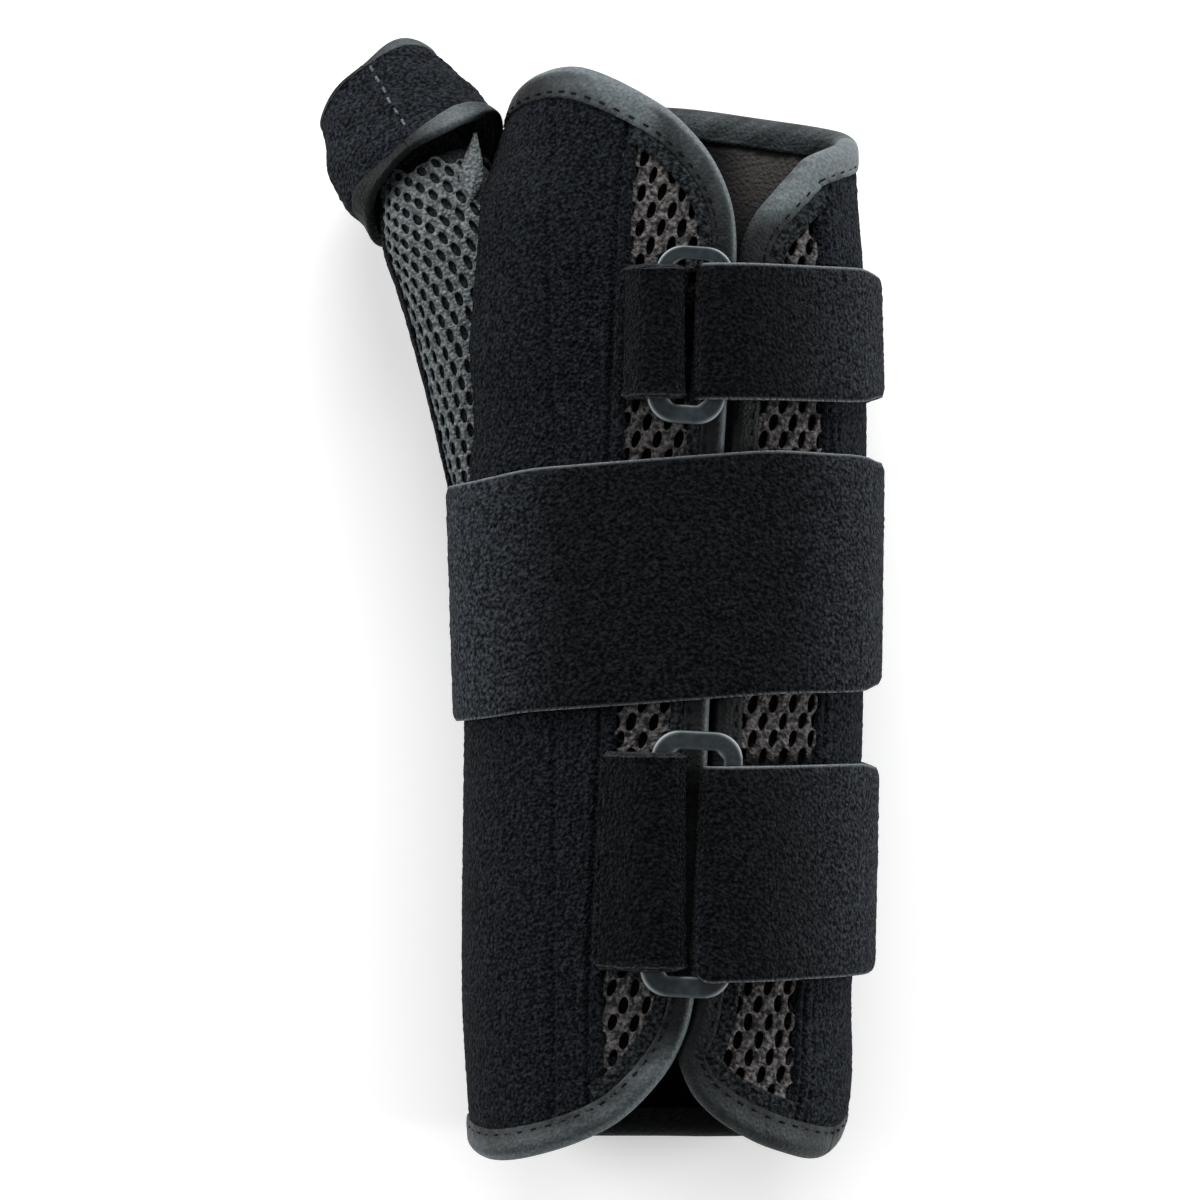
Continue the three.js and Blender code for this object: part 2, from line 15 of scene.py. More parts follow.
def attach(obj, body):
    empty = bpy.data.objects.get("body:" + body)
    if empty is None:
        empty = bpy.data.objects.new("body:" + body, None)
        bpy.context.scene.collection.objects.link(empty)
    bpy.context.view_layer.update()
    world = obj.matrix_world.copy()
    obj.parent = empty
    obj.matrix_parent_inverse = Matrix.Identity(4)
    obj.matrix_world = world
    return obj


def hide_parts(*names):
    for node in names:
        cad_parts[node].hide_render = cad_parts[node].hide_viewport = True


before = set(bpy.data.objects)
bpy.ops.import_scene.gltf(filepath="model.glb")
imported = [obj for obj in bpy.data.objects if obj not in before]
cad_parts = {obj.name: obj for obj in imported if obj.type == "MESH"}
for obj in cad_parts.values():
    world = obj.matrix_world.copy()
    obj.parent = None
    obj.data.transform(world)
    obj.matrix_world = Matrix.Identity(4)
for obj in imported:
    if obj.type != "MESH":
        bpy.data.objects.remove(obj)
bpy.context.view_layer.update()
MM = 0.001  # shapes are worked out in millimetres
ORIGIN = np.array([-0.0982, 0.5562, 0.0])  # where the drawing's zero lies in the frame
random = np.random.default_rng(7)
print("solids:", len(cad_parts))

# %% [markdown]
# ## The sleeve's form
# The sleeve has no single formula, but its outline from above and its depth change slowly from forearm to
# fingers. A few stations hold these sizes, and a smooth curve runs through them. Each section is a rounded
# box that is pressed flat where it lies on the floor.

# %% Stations of the sleeve


def table(columns, rows):
    """Columns of a short table by name."""
    return dict(zip(columns.split(), np.array(rows, float).T))


BODY = table(
    "y left right depth",
    [
        (-106, -24.3, 44, 53),
        (-95, -25.2, 47.6, 52.6),
        (-75, -26.3, 47.9, 52),
        (-25, -25.9, 50, 50.5),
        (25, -25.5, 50.8, 48.5),
        (57, -24.1, 50.5, 47.5),
        (76, -22, 49.2, 46.5),
        (88, -18.9, 48.5, 46),
        (101, -13.8, 47.5, 45.5),
    ],
)
ROUNDNESS = 2.3  # 2 is an ellipse, and more is squarer
TOP_SHARE = 0.53  # share of the depth above the widest line
FLATTENED = 1.2
FLOOR_LIFT = 1.9  # the back lies on one layer of strap
WALL = 3.2
MM_PER_DEGREE = 0.6


def smooth(rows, key, column, at):
    """A column's value at places along the key column, on a smooth curve through the rows."""
    keys, values = rows[key], rows[column]
    slopes = np.empty_like(values)
    slopes[1:-1] = (values[2:] - values[:-2]) / (keys[2:] - keys[:-2])
    slopes[[0, -1]] = (values[[1, -1]] - values[[0, -2]]) / (keys[[1, -1]] - keys[[0, -2]])
    i = np.clip(np.searchsorted(keys, at) - 1, 0, len(keys) - 2)
    span = keys[i + 1] - keys[i]
    t = np.clip((at - keys[i]) / span, 0, 1)
    blend = t * t * (3 - 2 * t)
    bend = slopes[i] * t * (1 - t) ** 2 - slopes[i + 1] * t * t * (1 - t)
    return values[i] + (values[i + 1] - values[i]) * blend + span * bend


def step(value, low, high):
    """Smooth change from 0 at low to 1 at high."""
    t = np.clip((value - low) / (high - low), 0, 1)
    return t * t * (3 - 2 * t)


def body_points(around, y, out):
    """Points by degrees around from the top, station, and distance outside the pile face."""
    around, y, out = np.broadcast_arrays(np.asarray(around, float), y, out)
    left, right, depth = (smooth(BODY, "y", column, y) for column in ("left", "right", "depth"))
    half_width = (right - left) / 2
    angle = np.radians(around)
    sine, cosine = np.sin(angle), np.cos(angle)
    half = np.where(cosine >= 0, depth * TOP_SHARE, depth * (1 - TOP_SHARE) + FLATTENED)
    across, up = np.abs(sine) / half_width, np.abs(cosine) / half
    radius = (across**ROUNDNESS + up**ROUNDNESS) ** (-1 / ROUNDNESS)
    normal_x = np.sign(sine) * (across * radius) ** (ROUNDNESS - 1) / half_width
    normal_z = np.sign(cosine) * (up * radius) ** (ROUNDNESS - 1) / half
    long = np.hypot(normal_x, normal_z)
    x = (left + right) / 2 + radius * sine + out * normal_x / long
    z = FLOOR_LIFT + depth * (1 - TOP_SHARE) + radius * cosine + out * normal_z / long
    return np.stack([x, y, np.maximum(z, FLOOR_LIFT - out)], -1)


def around_at(x, y):
    """Degrees around at which the sleeve's upward side has this x."""
    left, right, depth = (smooth(BODY, "y", column, y) for column in ("left", "right", "depth"))
    share = np.clip((2 * x - left - right) / (right - left), -1, 1)
    height = depth * TOP_SHARE * (1 - np.abs(share) ** ROUNDNESS) ** (1 / ROUNDNESS)
    return np.degrees(np.arctan2(share * (right - left) / 2, height))


def flap_rise(around):
    """The left flap's free edge stands a little above the right flap's."""
    return 0.9 * step(around, -45, 8)


def no_rise(around):
    return 0.0 * around


print("stations of the sleeve:", len(BODY["y"]))

# %% [markdown]
# Cloth is cut flat, so knitted mesh needs true lengths around the sleeve. The section at the wrist is walked
# round once, and its lengths turn degrees into millimetres of cloth.

# %% Lengths around the sleeve


def lengths_along(line):
    """Length walked up to each point of a line."""
    return np.concatenate([[0], np.cumsum(np.linalg.norm(np.diff(line, axis=0), axis=1))])


turn_steps = np.arange(-180, 361.0)
wrist_line = body_points(turn_steps, 0.0, 0.0)
walked = lengths_along(wrist_line)
walked -= np.interp(0, turn_steps, walked)


def cloth_around(around):
    return np.interp(around, turn_steps, walked)


def turn_of_cloth(length):
    return np.interp(length, walked, turn_steps)


print("once round the wrist: %.0f mm" % (cloth_around(360) - cloth_around(0)))

# %% [markdown]
# ## The flaps' edges
# Both flaps are cut with round corners. Each row is a point that the bound edge passes through. Rows on the
# upward side give x, and rows on the sides and back give degrees around. A seam or a corner is found again
# by its mark.

# %% Edge tables
SEAM = -92
LEFT_FLAP = [
    ("around", SEAM, -104.5, "start"),
    ("x", -20.2, -105.9, ""),
    ("x", -10.1, -103.6, ""),
    ("x", 1.2, -99, "bottom seam"),
    ("x", 7.6, -94, ""),
    ("x", 14, -85.8, ""),
    ("x", 17.1, -77.5, "bottom corner"),
    ("x", 18.8, -58, ""),
    ("x", 20.5, -20.7, ""),
    ("x", 22.7, 18.5, ""),
    ("x", 24.7, 50.2, ""),
    ("x", 25.6, 68, "top corner"),
    ("x", 24.4, 75.3, ""),
    ("x", 21.2, 82.4, ""),
    ("x", 15.3, 89.5, ""),
    ("x", 9.3, 93.9, "top seam"),
    ("x", -4.6, 100.1, ""),
    ("x", -11.8, 99.6, ""),
    ("around", SEAM, 96.2, "end"),
]
RIGHT_FLAP = [
    ("around", SEAM + 360, 96.2, "start"),
    ("around", 242, 95.6, "lining top"),
    ("around", 180, 95.2, ""),
    ("around", 135, 92.6, ""),
    ("around", 88, 88, "finger corner"),
    ("x", 39.8, 83, "top seam"),
    ("x", 37.1, 80.4, ""),
    ("x", 32.8, 75.9, ""),
    ("x", 29.4, 71.9, ""),
    ("x", 27, 66.6, "top corner"),
    ("x", 25.6, 50.2, ""),
    ("x", 23.6, 18.5, ""),
    ("x", 21.4, -20.7, ""),
    ("x", 19.7, -58, ""),
    ("x", 17.1, -77.8, "bottom corner"),
    ("x", 14.6, -85, ""),
    ("x", 17, -92, ""),
    ("x", 21.2, -96.6, ""),
    ("x", 27, -100.4, ""),
    ("x", 33.4, -103.3, "bottom seam"),
    ("around", 70, -105.8, "forearm corner"),
    ("around", 100, -102.6, ""),
    ("around", 145, -104.5, ""),
    ("around", 180, -104.5, ""),
    ("around", 242, -104.5, "lining bottom"),
    ("around", SEAM + 360, -104.5, "end"),
]


def pattern_points(rows):
    """A flap's edge in the pattern, whose x is cloth around the sleeve and y the station."""
    turns = [value if kind == "around" else around_at(value, y) for kind, value, y, mark in rows]
    return np.array([(turn * MM_PER_DEGREE, row[2]) for turn, row in zip(turns, rows)])


def mark_at(rows, mark):
    """Place along an edge, from 0 to 1, of the row with this mark."""
    return [row[3] for row in rows].index(mark) / (len(rows) - 1)


def curve_at(points, t):
    """Points on the smooth curve through some points. Near points turn it more tightly than far ones."""
    place = np.clip(np.asarray(t, float), 0, 1) * (len(points) - 1)
    i = np.clip(np.floor(place).astype(int), 0, len(points) - 2)
    u = (place - i)[..., None]
    padded = np.vstack([2 * points[0] - points[1], points, 2 * points[-1] - points[-2]])
    before, start, end, after = (padded[i + k] for k in range(4))

    def apart(a, b):
        return np.sqrt(np.linalg.norm(b - a, axis=-1, keepdims=True))

    d0, d1, d2 = apart(before, start), apart(start, end), apart(end, after)
    leave = d1 * ((start - before) / d0 - (end - before) / (d0 + d1)) + end - start
    arrive = d1 * ((after - end) / d2 - (after - start) / (d1 + d2)) + end - start
    square = 3 * (end - start) - 2 * leave - arrive
    cube = 2 * (start - end) + leave + arrive
    return start + u * leave + u * u * square + u**3 * cube


def unit(vectors):
    """Vectors along the last axis, brought to length 1."""
    return vectors / np.linalg.norm(vectors, axis=-1, keepdims=True)


def edge_at(points, t, inset):
    """Points at some distance inside a flap's edge, in the pattern."""
    t = np.asarray(t, float)
    ahead = unit(curve_at(points, t + 1e-4) - curve_at(points, t - 1e-4))
    inward = np.stack([-ahead[..., 1], ahead[..., 0]], -1)
    return curve_at(points, t) + inward * np.asarray(inset)[..., None]


left_edge = pattern_points(LEFT_FLAP)
right_edge = pattern_points(RIGHT_FLAP)
print("edge rows:", len(left_edge), len(right_edge))

# %% [markdown]
# ## Helpers for cloth
# A cloth piece starts as a flat grid. Its points are then laid on the form by a function, and a solidify
# modifier gives the cloth its thickness. The pile's loops stand unevenly, so each point of a pile face gets
# a small height of its own.

# %% Cloth helpers


def add_object(name, bm, material):
    mesh = bpy.data.meshes.new(name)
    bm.to_mesh(mesh)
    bm.free()
    piece = bpy.data.objects.new(name, mesh)
    bpy.context.scene.collection.objects.link(piece)
    mesh.materials.append(material)
    mesh.polygons.foreach_set("use_smooth", np.ones(len(mesh.polygons), bool))
    return piece


def read_points(piece):
    flat = np.empty(len(piece.data.vertices) * 3)
    piece.data.vertices.foreach_get("co", flat)
    return flat.reshape(-1, 3)


def lay(piece, points):
    """Moves a piece's points to places given in millimetres on the drawing."""
    placed = (points + ORIGIN) * MM
    piece.data.vertices.foreach_set("co", placed.ravel())
    piece.data.update()


def cloth_grid(name, columns, rows, material):
    """A flat grid from 0 to 1 each way, whose UV map keeps the flat places."""
    bm = bmesh.new()
    bmesh.ops.create_grid(bm, x_segments=columns, y_segments=rows, size=0.5, calc_uvs=True)
    bmesh.ops.translate(bm, verts=bm.verts, vec=(0.5, 0.5, 0))
    uv_layer = bm.loops.layers.uv.verify()
    for face in bm.faces:
        for loop in face.loops:
            loop[uv_layer].uv = loop.vert.co.xy
    return add_object(name, bm, material)


def thicken(piece, thickness, rim=None):
    """Cloth thickness, with the cut edge in a material of its own if one is given."""
    solid = piece.modifiers.new("cloth thickness", "SOLIDIFY")
    solid.thickness = thickness * MM
    solid.offset = -1.0
    if rim is not None:
        piece.data.materials.append(rim)
        solid.material_offset_rim = 1


def mark_points(piece, name, values):
    """Keeps a value from 0 to 1 at each point, which the piece's finish reads."""
    marks = piece.data.attributes.new(name, "FLOAT", "POINT")
    marks.data.foreach_set("value", np.clip(values, 0, 1).astype(float))


def merge_ends(piece, apart):
    """Joins the two ends of a grid that was bent into a tube."""
    bm = bmesh.new()
    bm.from_mesh(piece.data)
    bmesh.ops.remove_doubles(bm, verts=bm.verts, dist=apart * MM)
    bmesh.ops.recalc_face_normals(bm, faces=bm.faces)
    bm.to_mesh(piece.data)
    bm.free()


def add_copies(bm, tile, turns):
    """Copies of a small mesh, each moved by a matrix of its own."""
    for turn in turns:
        start = len(bm.verts)
        bm.from_mesh(tile)
        bm.verts.ensure_lookup_table()
        bmesh.ops.transform(bm, matrix=turn, verts=bm.verts[start:])


def hand_over(piece, slot, *nodes):
    """Sets which body the piece rides on, and hides the solids that it stands for. Its finish, the slot, is
    not used.
    """
    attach(piece, "root")
    if nodes:
        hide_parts(*nodes)


def patch(sides, s, t):
    """Places between four sides of a pattern piece, from 0 to 1 across and along."""
    s, t = s[:, None], t[:, None]
    left, right = sides["left"](t[:, 0]), sides["right"](t[:, 0])
    bottom, top = sides["bottom"](s[:, 0]), sides["top"](s[:, 0])
    low = sides["left"](np.zeros(1)) * (1 - s) + sides["right"](np.zeros(1)) * s
    high = sides["left"](np.ones(1)) * (1 - s) + sides["right"](np.ones(1)) * s
    return left * (1 - s) + right * s + bottom * (1 - t) + top * t - low * (1 - t) - high * t


def pile_height(count, depth):
    """Uneven heights of pile loops."""
    return random.normal(0, depth, count)


print("cloth helpers are ready")

# %% [markdown]
# ## Finishes
# Pile cloth is nearly black, but its loops catch light one by one, so its colour is speckled. One speckle
# group serves every pile piece. It reads object coordinates, because the loops run on over seams.

# %% Shader helpers


def new_material(name):
    material = bpy.data.materials.new(name)
    material.use_nodes = True
    return material, material.node_tree, material.node_tree.nodes["Principled BSDF"]


def add_node(tree, kind, values=None, **settings):
    """A new shader node with some settings, and values for some of its inputs."""
    node = tree.nodes.new("ShaderNode" + kind)
    for name, setting in settings.items():
        setattr(node, name, setting)
    for name, value in (values or {}).items():
        node.inputs[name].default_value = value
    return node


def srgb(code):
    """Linear colour of a six-digit code."""
    parts = [int(code[i : i + 2], 16) / 255 for i in (0, 2, 4)]
    return tuple(p / 12.92 if p <= 0.04045 else ((p + 0.055) / 1.055) ** 2.4 for p in parts) + (1.0,)


def speckle_group():
    """Pile loops: a mask that lights them one by one, and the height of their rounded tops."""
    group = bpy.data.node_groups.new("Loop speckle", "ShaderNodeTree")
    for name, way in (("Size", "INPUT"), ("Mask", "OUTPUT"), ("Height", "OUTPUT")):
        group.interface.new_socket(name, in_out=way, socket_type="NodeSocketFloat")
    inside = group.nodes.new("NodeGroupInput")
    outside = group.nodes.new("NodeGroupOutput")
    place = add_node(group, "TexCoord")
    loops = add_node(group, "TexVoronoi")
    fuzz = add_node(group, "TexNoise", {"Detail": 2.0})
    dome = add_node(group, "MapRange", {"From Min": 0.1, "From Max": 0.75, "To Min": 1.0, "To Max": 0.0})
    chance = add_node(group, "SeparateColor")
    lit = add_node(group, "Math", operation="MULTIPLY")
    contrast = add_node(group, "MapRange", {"From Min": 0.4, "From Max": 0.76})
    patchy = add_node(group, "Math", {1: 0.3}, operation="MULTIPLY_ADD")
    height = add_node(group, "Math", operation="ADD")
    join = group.links.new
    for texture in (loops, fuzz):
        join(place.outputs["Object"], texture.inputs["Vector"])
        join(inside.outputs["Size"], texture.inputs["Scale"])
    join(loops.outputs["Distance"], dome.inputs["Value"])
    join(loops.outputs["Color"], chance.inputs["Color"])
    join(chance.outputs["Red"], lit.inputs[0])
    join(dome.outputs["Result"], lit.inputs[1])
    join(fuzz.outputs["Fac"], contrast.inputs["Value"])
    join(lit.outputs["Value"], patchy.inputs[0])
    join(contrast.outputs["Result"], patchy.inputs[2])
    join(dome.outputs["Result"], height.inputs[0])
    join(fuzz.outputs["Fac"], height.inputs[1])
    join(patchy.outputs["Value"], outside.inputs["Mask"])
    join(height.outputs["Value"], outside.inputs["Height"])
    return group


SPECKLE = speckle_group()


def cloth_material(name, dark, light, size, relief, roughness, sheen, shine=0.05):
    """Matt cloth whose colour speckles between two tones."""
    material, tree, shader = new_material(name)
    shader.inputs["Roughness"].default_value = roughness
    shader.inputs["Sheen Weight"].default_value = sheen
    shader.inputs["Sheen Roughness"].default_value = 0.3
    shader.inputs["Specular IOR Level"].default_value = shine
    speckle = add_node(tree, "Group", {"Size": size}, node_tree=SPECKLE)
    tone = add_node(tree, "Mix", {"A": srgb(dark), "B": srgb(light)}, data_type="RGBA")
    bumps = add_node(tree, "Bump", {"Strength": 1.0, "Distance": relief * MM})
    join = tree.links.new
    join(speckle.outputs["Mask"], tone.inputs["Factor"])
    join(tone.outputs["Result"], shader.inputs["Base Color"])
    join(speckle.outputs["Height"], bumps.inputs["Height"])
    join(bumps.outputs["Normal"], shader.inputs["Normal"])
    return material


def marked_tone(material, name):
    """A material's tree, its colour input, what feeds that now, and a mark kept at the piece's points."""
    tree = material.node_tree
    base = tree.nodes["Principled BSDF"].inputs["Base Color"]
    marks = add_node(tree, "Attribute", attribute_name=name)
    return tree, base, base.links[0].from_socket, marks.outputs["Fac"]


def add_mark(material, name, code, sharpness):
    """A second tone where a piece's points are marked."""
    tree, base, tone, mark = marked_tone(material, name)
    narrow = add_node(tree, "Math", {1: sharpness}, operation="POWER")
    line = add_node(tree, "Mix", {"B": srgb(code)}, data_type="RGBA")
    tree.links.new(mark, narrow.inputs[0])
    tree.links.new(narrow.outputs["Value"], line.inputs["Factor"])
    tree.links.new(tone, line.inputs["A"])
    tree.links.new(line.outputs["Result"], base)


def add_gain(material, name, gain):
    """A brighter tone where a piece's points are marked."""
    tree, base, tone, mark = marked_tone(material, name)
    factor = add_node(tree, "Math", {1: gain, 2: 1.0}, operation="MULTIPLY_ADD")
    brighter = add_node(tree, "VectorMath", operation="SCALE")
    tree.links.new(mark, factor.inputs[0])
    tree.links.new(tone, brighter.inputs["Vector"])
    tree.links.new(factor.outputs["Value"], brighter.inputs["Scale"])
    tree.links.new(brighter.outputs["Vector"], base)


print("shader group:", SPECKLE.name)

# %% Materials
pile_cloth = cloth_material("Pile cloth", "030406", "24282d", 1350, 0.4, 0.95, 0.02)
# Painted light: the pile is brighter where a piece carries this mark.
add_gain(pile_cloth, "painted_light", 2.0)
strap_cloth = cloth_material("Strap cloth", "020203", "171a1d", 1300, 0.4, 0.95, 0.03)
# Painted light: a strap is brighter where it carries this mark.
add_gain(strap_cloth, "painted_light", 5.0)
# A painted highlight along each strap's long edges.
add_mark(strap_cloth, "edge", "7a8186", 2.5)
dark_edge = cloth_material("Tab cut edge", "0c0e10", "2a2e31", 1100, 0.3, 0.8, 0.05)
cut_edge = cloth_material("Strap cut edge", "202427", "50565a", 1100, 0.3, 0.8, 0.05)
facing_cloth = cloth_material("Facing cloth", "050607", "34393c", 1250, 0.4, 0.95, 0.02)
mesh_yarn = cloth_material("Mesh yarn", "222121", "6c6968", 1100, 0.4, 0.8, 0.02)
add_mark(mesh_yarn, "shade", "0c0c0d", 1.0)
thumb_yarn = cloth_material("Thumb mesh yarn", "3e4345", "7b8183", 1300, 0.35, 0.8, 0.02)
backing_cloth = cloth_material("Mesh backing", "0b0b0b", "1e1e1e", 1500, 0.2, 0.95, 0.0)
thumb_backing = cloth_material("Thumb mesh backing", "1b1e20", "3a3e40", 1500, 0.2, 0.95, 0.0)
# The lining's own tones are painted near black as shade, and its light mark paints a lit patch.
lining_cloth = cloth_material("Lining cloth", "040404", "121110", 1300, 0.15, 0.95, 0.02)
add_mark(lining_cloth, "light", "504e4d", 1.0)
# The satin tape's own tones are near black, and its light mark paints highlights on it.
satin_tape = cloth_material("Satin tape", "101213", "181b1c", 1500, 0.1, 0.55, 0.0, 0.12)
add_gain(satin_tape, "light", 13.0)
thread = cloth_material("Sewing thread", "040505", "151718", 3000, 0.1, 0.7, 0.0)
grey_thread = cloth_material("Grey thread", "16191b", "4a5154", 2000, 0.1, 0.8, 0.0)
light_thread = cloth_material("Light thread", "34393b", "7a8184", 2600, 0.1, 0.7, 0.0)
loop_plastic = cloth_material("Loop plastic", "1d2326", "293034", 700, 0.03, 0.42, 0.0, 0.25)
# Painted highlights along the loops' bevels.
add_mark(loop_plastic, "edge", "98a1a5", 1.0)
print("materials:", len(bpy.data.materials))

# %% [markdown]
# ## Pile panels
# The left flap is one pile panel. A stitched line is pressed into it, where such a brace has the pocket of a
# stay. The back panel wraps from the right flap under the hand to the thumb side. Both draw back round the
# hole for the thumb.

# %% Pattern sides
INSET = 1.3  # how far inside the raw edge a panel ends, under the tape
HOLE_FROM, HOLE_TO = 20, 88  # stations of the thumb hole
RIGHT_SEAM_BOW = 3.2
LEFT_OPENING, BACK_OPENING = 17, -15  # degrees that the panels draw back at the hole


def edge_side(edge, start, end):
    return lambda t: edge_at(edge, start + (end - start) * t, np.full(len(t), INSET))


def seam_side(low, high, bow=0.0):
    """A seam between two places. Bow is how far its middle bends away, in pattern millimetres."""
    return lambda t: low + (high - low) * t[:, None] + np.outer(np.sin(math.pi * t), (bow, 0))


def side_seam(low, high, turn):
    """The side seam draws back beside the thumb hole."""

    def side(t):
        places = low + (high - low) * t[:, None]
        third = (HOLE_TO - HOLE_FROM) / 3
        opened = step(places[:, 1], HOLE_FROM, HOLE_FROM + third)
        opened = opened * (1 - step(places[:, 1], HOLE_TO - third, HOLE_TO))
        places[:, 0] += turn * opened * MM_PER_DEGREE
        return places

    return side


def left_mark(mark):
    return mark_at(LEFT_FLAP, mark)


def right_mark(mark):
    return mark_at(RIGHT_FLAP, mark)


def left_inset(mark):
    return edge_at(left_edge, left_mark(mark), INSET)


def right_inset(mark):
    return edge_at(right_edge, right_mark(mark), INSET)


def left_side(start, end):
    return edge_side(left_edge, left_mark(start), left_mark(end))


def right_side(start, end):
    return edge_side(right_edge, right_mark(start), right_mark(end))


front_seam = seam_side(left_inset("bottom seam"), left_inset("top seam"))
right_seam = seam_side(right_inset("bottom seam"), right_inset("top seam"), RIGHT_SEAM_BOW)
left_panel_sides = {
    "left": side_seam(left_inset("start"), left_inset("end"), LEFT_OPENING),
    "right": front_seam,
    "bottom": left_side("start", "bottom seam"),
    "top": left_side("end", "top seam"),
}
left_mesh_sides = {
    "left": front_seam,
    "right": left_side("bottom corner", "top corner"),
    "bottom": left_side("bottom seam", "bottom corner"),
    "top": left_side("top seam", "top corner"),
}
right_mesh_sides = {
    "left": right_side("bottom corner", "top corner"),
    "right": right_seam,
    "bottom": right_side("bottom corner", "bottom seam"),
    "top": right_side("top corner", "top seam"),
}
back_panel_sides = {
    "left": right_seam,
    "right": side_seam(right_inset("end"), right_inset("start"), BACK_OPENING),
    "bottom": right_side("bottom seam", "end"),
    "top": right_side("top seam", "start"),
}
lining_sides = {
    "left": right_mesh_sides["left"],
    "right": seam_side(right_inset("lining bottom"), right_inset("lining top")),
    "bottom": right_side("bottom corner", "lining bottom"),
    "top": right_side("top corner", "lining top"),
}


def pattern_ring(sides, count, left_more=0.0, right_more=0.0):
    """Outline of a pattern piece in millimetres of cloth, with its left and right sides moved out."""
    t = np.linspace(0, 1, count)
    left, right = sides["left"](t) - (left_more, 0), sides["right"](t) + (right_more, 0)
    ring = np.vstack([sides["bottom"](t), right, sides["top"](t)[::-1], left[::-1]])
    return np.stack([cloth_around(ring[:, 0] / MM_PER_DEGREE), ring[:, 1]], -1)


def cloth_sizes(sides):
    """Largest flat width, length and area of a pattern piece, in metres."""
    ring = pattern_ring(sides, 60) * MM
    after = np.roll(ring, -1, axis=0)
    area = abs(np.sum(ring[:, 0] * after[:, 1] - ring[:, 1] * after[:, 0])) / 2
    width, length = np.ptp(ring, axis=0)
    return float(width), float(length), float(area)


def even(share):
    return share


def finer_left(share):
    return share**1.6


def finer_right(share):
    return 1 - (1 - share) ** 1.5


def panel(name, sides, columns, rows, material, out, rise, spread=even, painted_light=None):
    """A panel laid on the sleeve. Out gives its distance outside by turn and station, and the last argument
    gives its painted light.
    """
    piece = cloth_grid(name, columns, rows, material)
    flat = read_points(piece)
    places = patch(sides, spread(flat[:, 0]), flat[:, 1])
    around = places[:, 0] / MM_PER_DEGREE
    lay(piece, body_points(around, places[:, 1], out(around, places[:, 1]) + rise(around)))
    if painted_light is not None:
        mark_points(piece, "painted_light", painted_light(around, places[:, 1]))
    return piece


def declare_panel(piece, sides):
    width, length, area = cloth_sizes(sides)
    print("%s: %.0f x %.0f mm" % (piece.name, width / MM, length / MM))


def finish_panel(piece, sides, thickness, slot, *nodes):
    thicken(piece, thickness)
    hand_over(piece, slot, *nodes)
    declare_panel(piece, sides)


# %% Left and back panels
POCKET_X = -8.7  # the pressed line on the left flap
SEAM_STITCH_IN = 3.2  # stitches beside the front seam
THUMB_PUSH = 3.0
BACK_WALL = 1.3


def bump(apart, width):
    """1 where apart is 0, falling away smoothly to both sides."""
    return np.exp(-((apart / width) ** 2))


def groove(apart, depth, width):
    """A line that stitches press into the cloth."""
    return -depth * bump(apart, width)


def seam_roll(apart):
    """The edge of pile cloth at a mesh seam stands up a little and turns down."""
    return 0.55 * step(apart, 0, 1.2) * (1 - step(apart, 3, 7)) - 0.6 * (1 - step(apart, 0, 0.8))


def thumb_push(around, y):
    """The thumb gusset under the flap's side pushes it out."""
    beside = step(y, 28, 52) * (1 - step(y, 72, 86))
    return THUMB_PUSH * beside * step(around, -95, -70) * (1 - step(around, -52, -22))


def left_out(around, y):
    cloth = cloth_around(around)
    pocket = cloth - cloth_around(around_at(POCKET_X, y))
    edge = cloth_around(front_seam_turn(y)) - cloth
    lines = groove(pocket, 0.6, 0.6) + groove(edge - SEAM_STITCH_IN, 0.9, 0.55)
    free = step(y, -92, -86) * (1 - step(y, 80, 87))
    return pile_height(len(y), 0.06) + lines + seam_roll(edge) * free + thumb_push(around, y)


def back_out(around, y):
    edge = cloth_around(around) - cloth_around(right_seam_turn(y))
    lines = groove(edge - 2.0, 0.7, 0.45) + groove(edge - 4.4, 0.5, 0.45)
    free = step(y, -96, -90) * (1 - step(y, 71, 78))
    return pile_height(len(y), 0.07) + lines + seam_roll(edge) * free


def back_painted_light(around, y):
    """Painted light on the back pile, more towards the forearm, and none where it dips under the mesh seam,
    so that the dip looks shaded.
    """
    edge = cloth_around(around) - cloth_around(right_seam_turn(y))
    return 0.14 + 0.1 * (1 - step(y, -90, -40)) - 0.55 * bump(edge, 1.1)


def seam_turn(seam):
    """Degrees around of a seam by station."""
    line = seam(np.linspace(0, 1, 40))
    return lambda y: np.interp(y, line[:, 1], line[:, 0]) / MM_PER_DEGREE


front_seam_turn = seam_turn(front_seam)
right_seam_turn = seam_turn(right_seam)
left_panel = panel("left_pile", left_panel_sides, 110, 290, pile_cloth, left_out, flap_rise, finer_right)
finish_panel(left_panel, left_panel_sides, WALL, "pile_cloth", "left_panel")
back_panel = panel(
    "back_pile", back_panel_sides, 170, 220, pile_cloth, back_out, no_rise, finer_left, back_painted_light
)
finish_panel(back_panel, back_panel_sides, BACK_WALL, "pile_cloth", "back_panel")

# %% [markdown]
# ## Lining
# The lining is a plain brushed cloth. It lies inside the back with some slack, so it dents a little. Its
# colour is painted near black as shade, with a patch of painted light towards the finger end.

# %% Lining
LINING_IN = 2.2  # from the pile face to the lining


def lining_out(around, y):
    dents = 0.15 * np.sin(around * 0.21 + y * 0.05) * np.sin(y * 0.09)
    return dents - LINING_IN


lining = panel("back_lining", lining_sides, 90, 120, lining_cloth, lining_out, no_rise)
lining_points = read_points(lining) / MM
# Painted light: a lit patch towards the finger end, on the lining's right side.
lit = (0.1 + 0.9 * step(lining_points[:, 0], 22, 32)) * step(lining_points[:, 1], 66, 88)
mark_points(lining, "light", lit)
finish_panel(lining, lining_sides, 0.8, "lining_cloth", "lining")

# %% [markdown]
# ## Knitted mesh
# Spacer mesh is knitted with staggered oval holes. One hexagon is inset and its middle is opened. Copies of
# it are set row by row inside the panel's outline and merged, so that the whole net is one cloth, which is
# then laid on the form. A dark backing closes it from behind.

# %% Net helpers


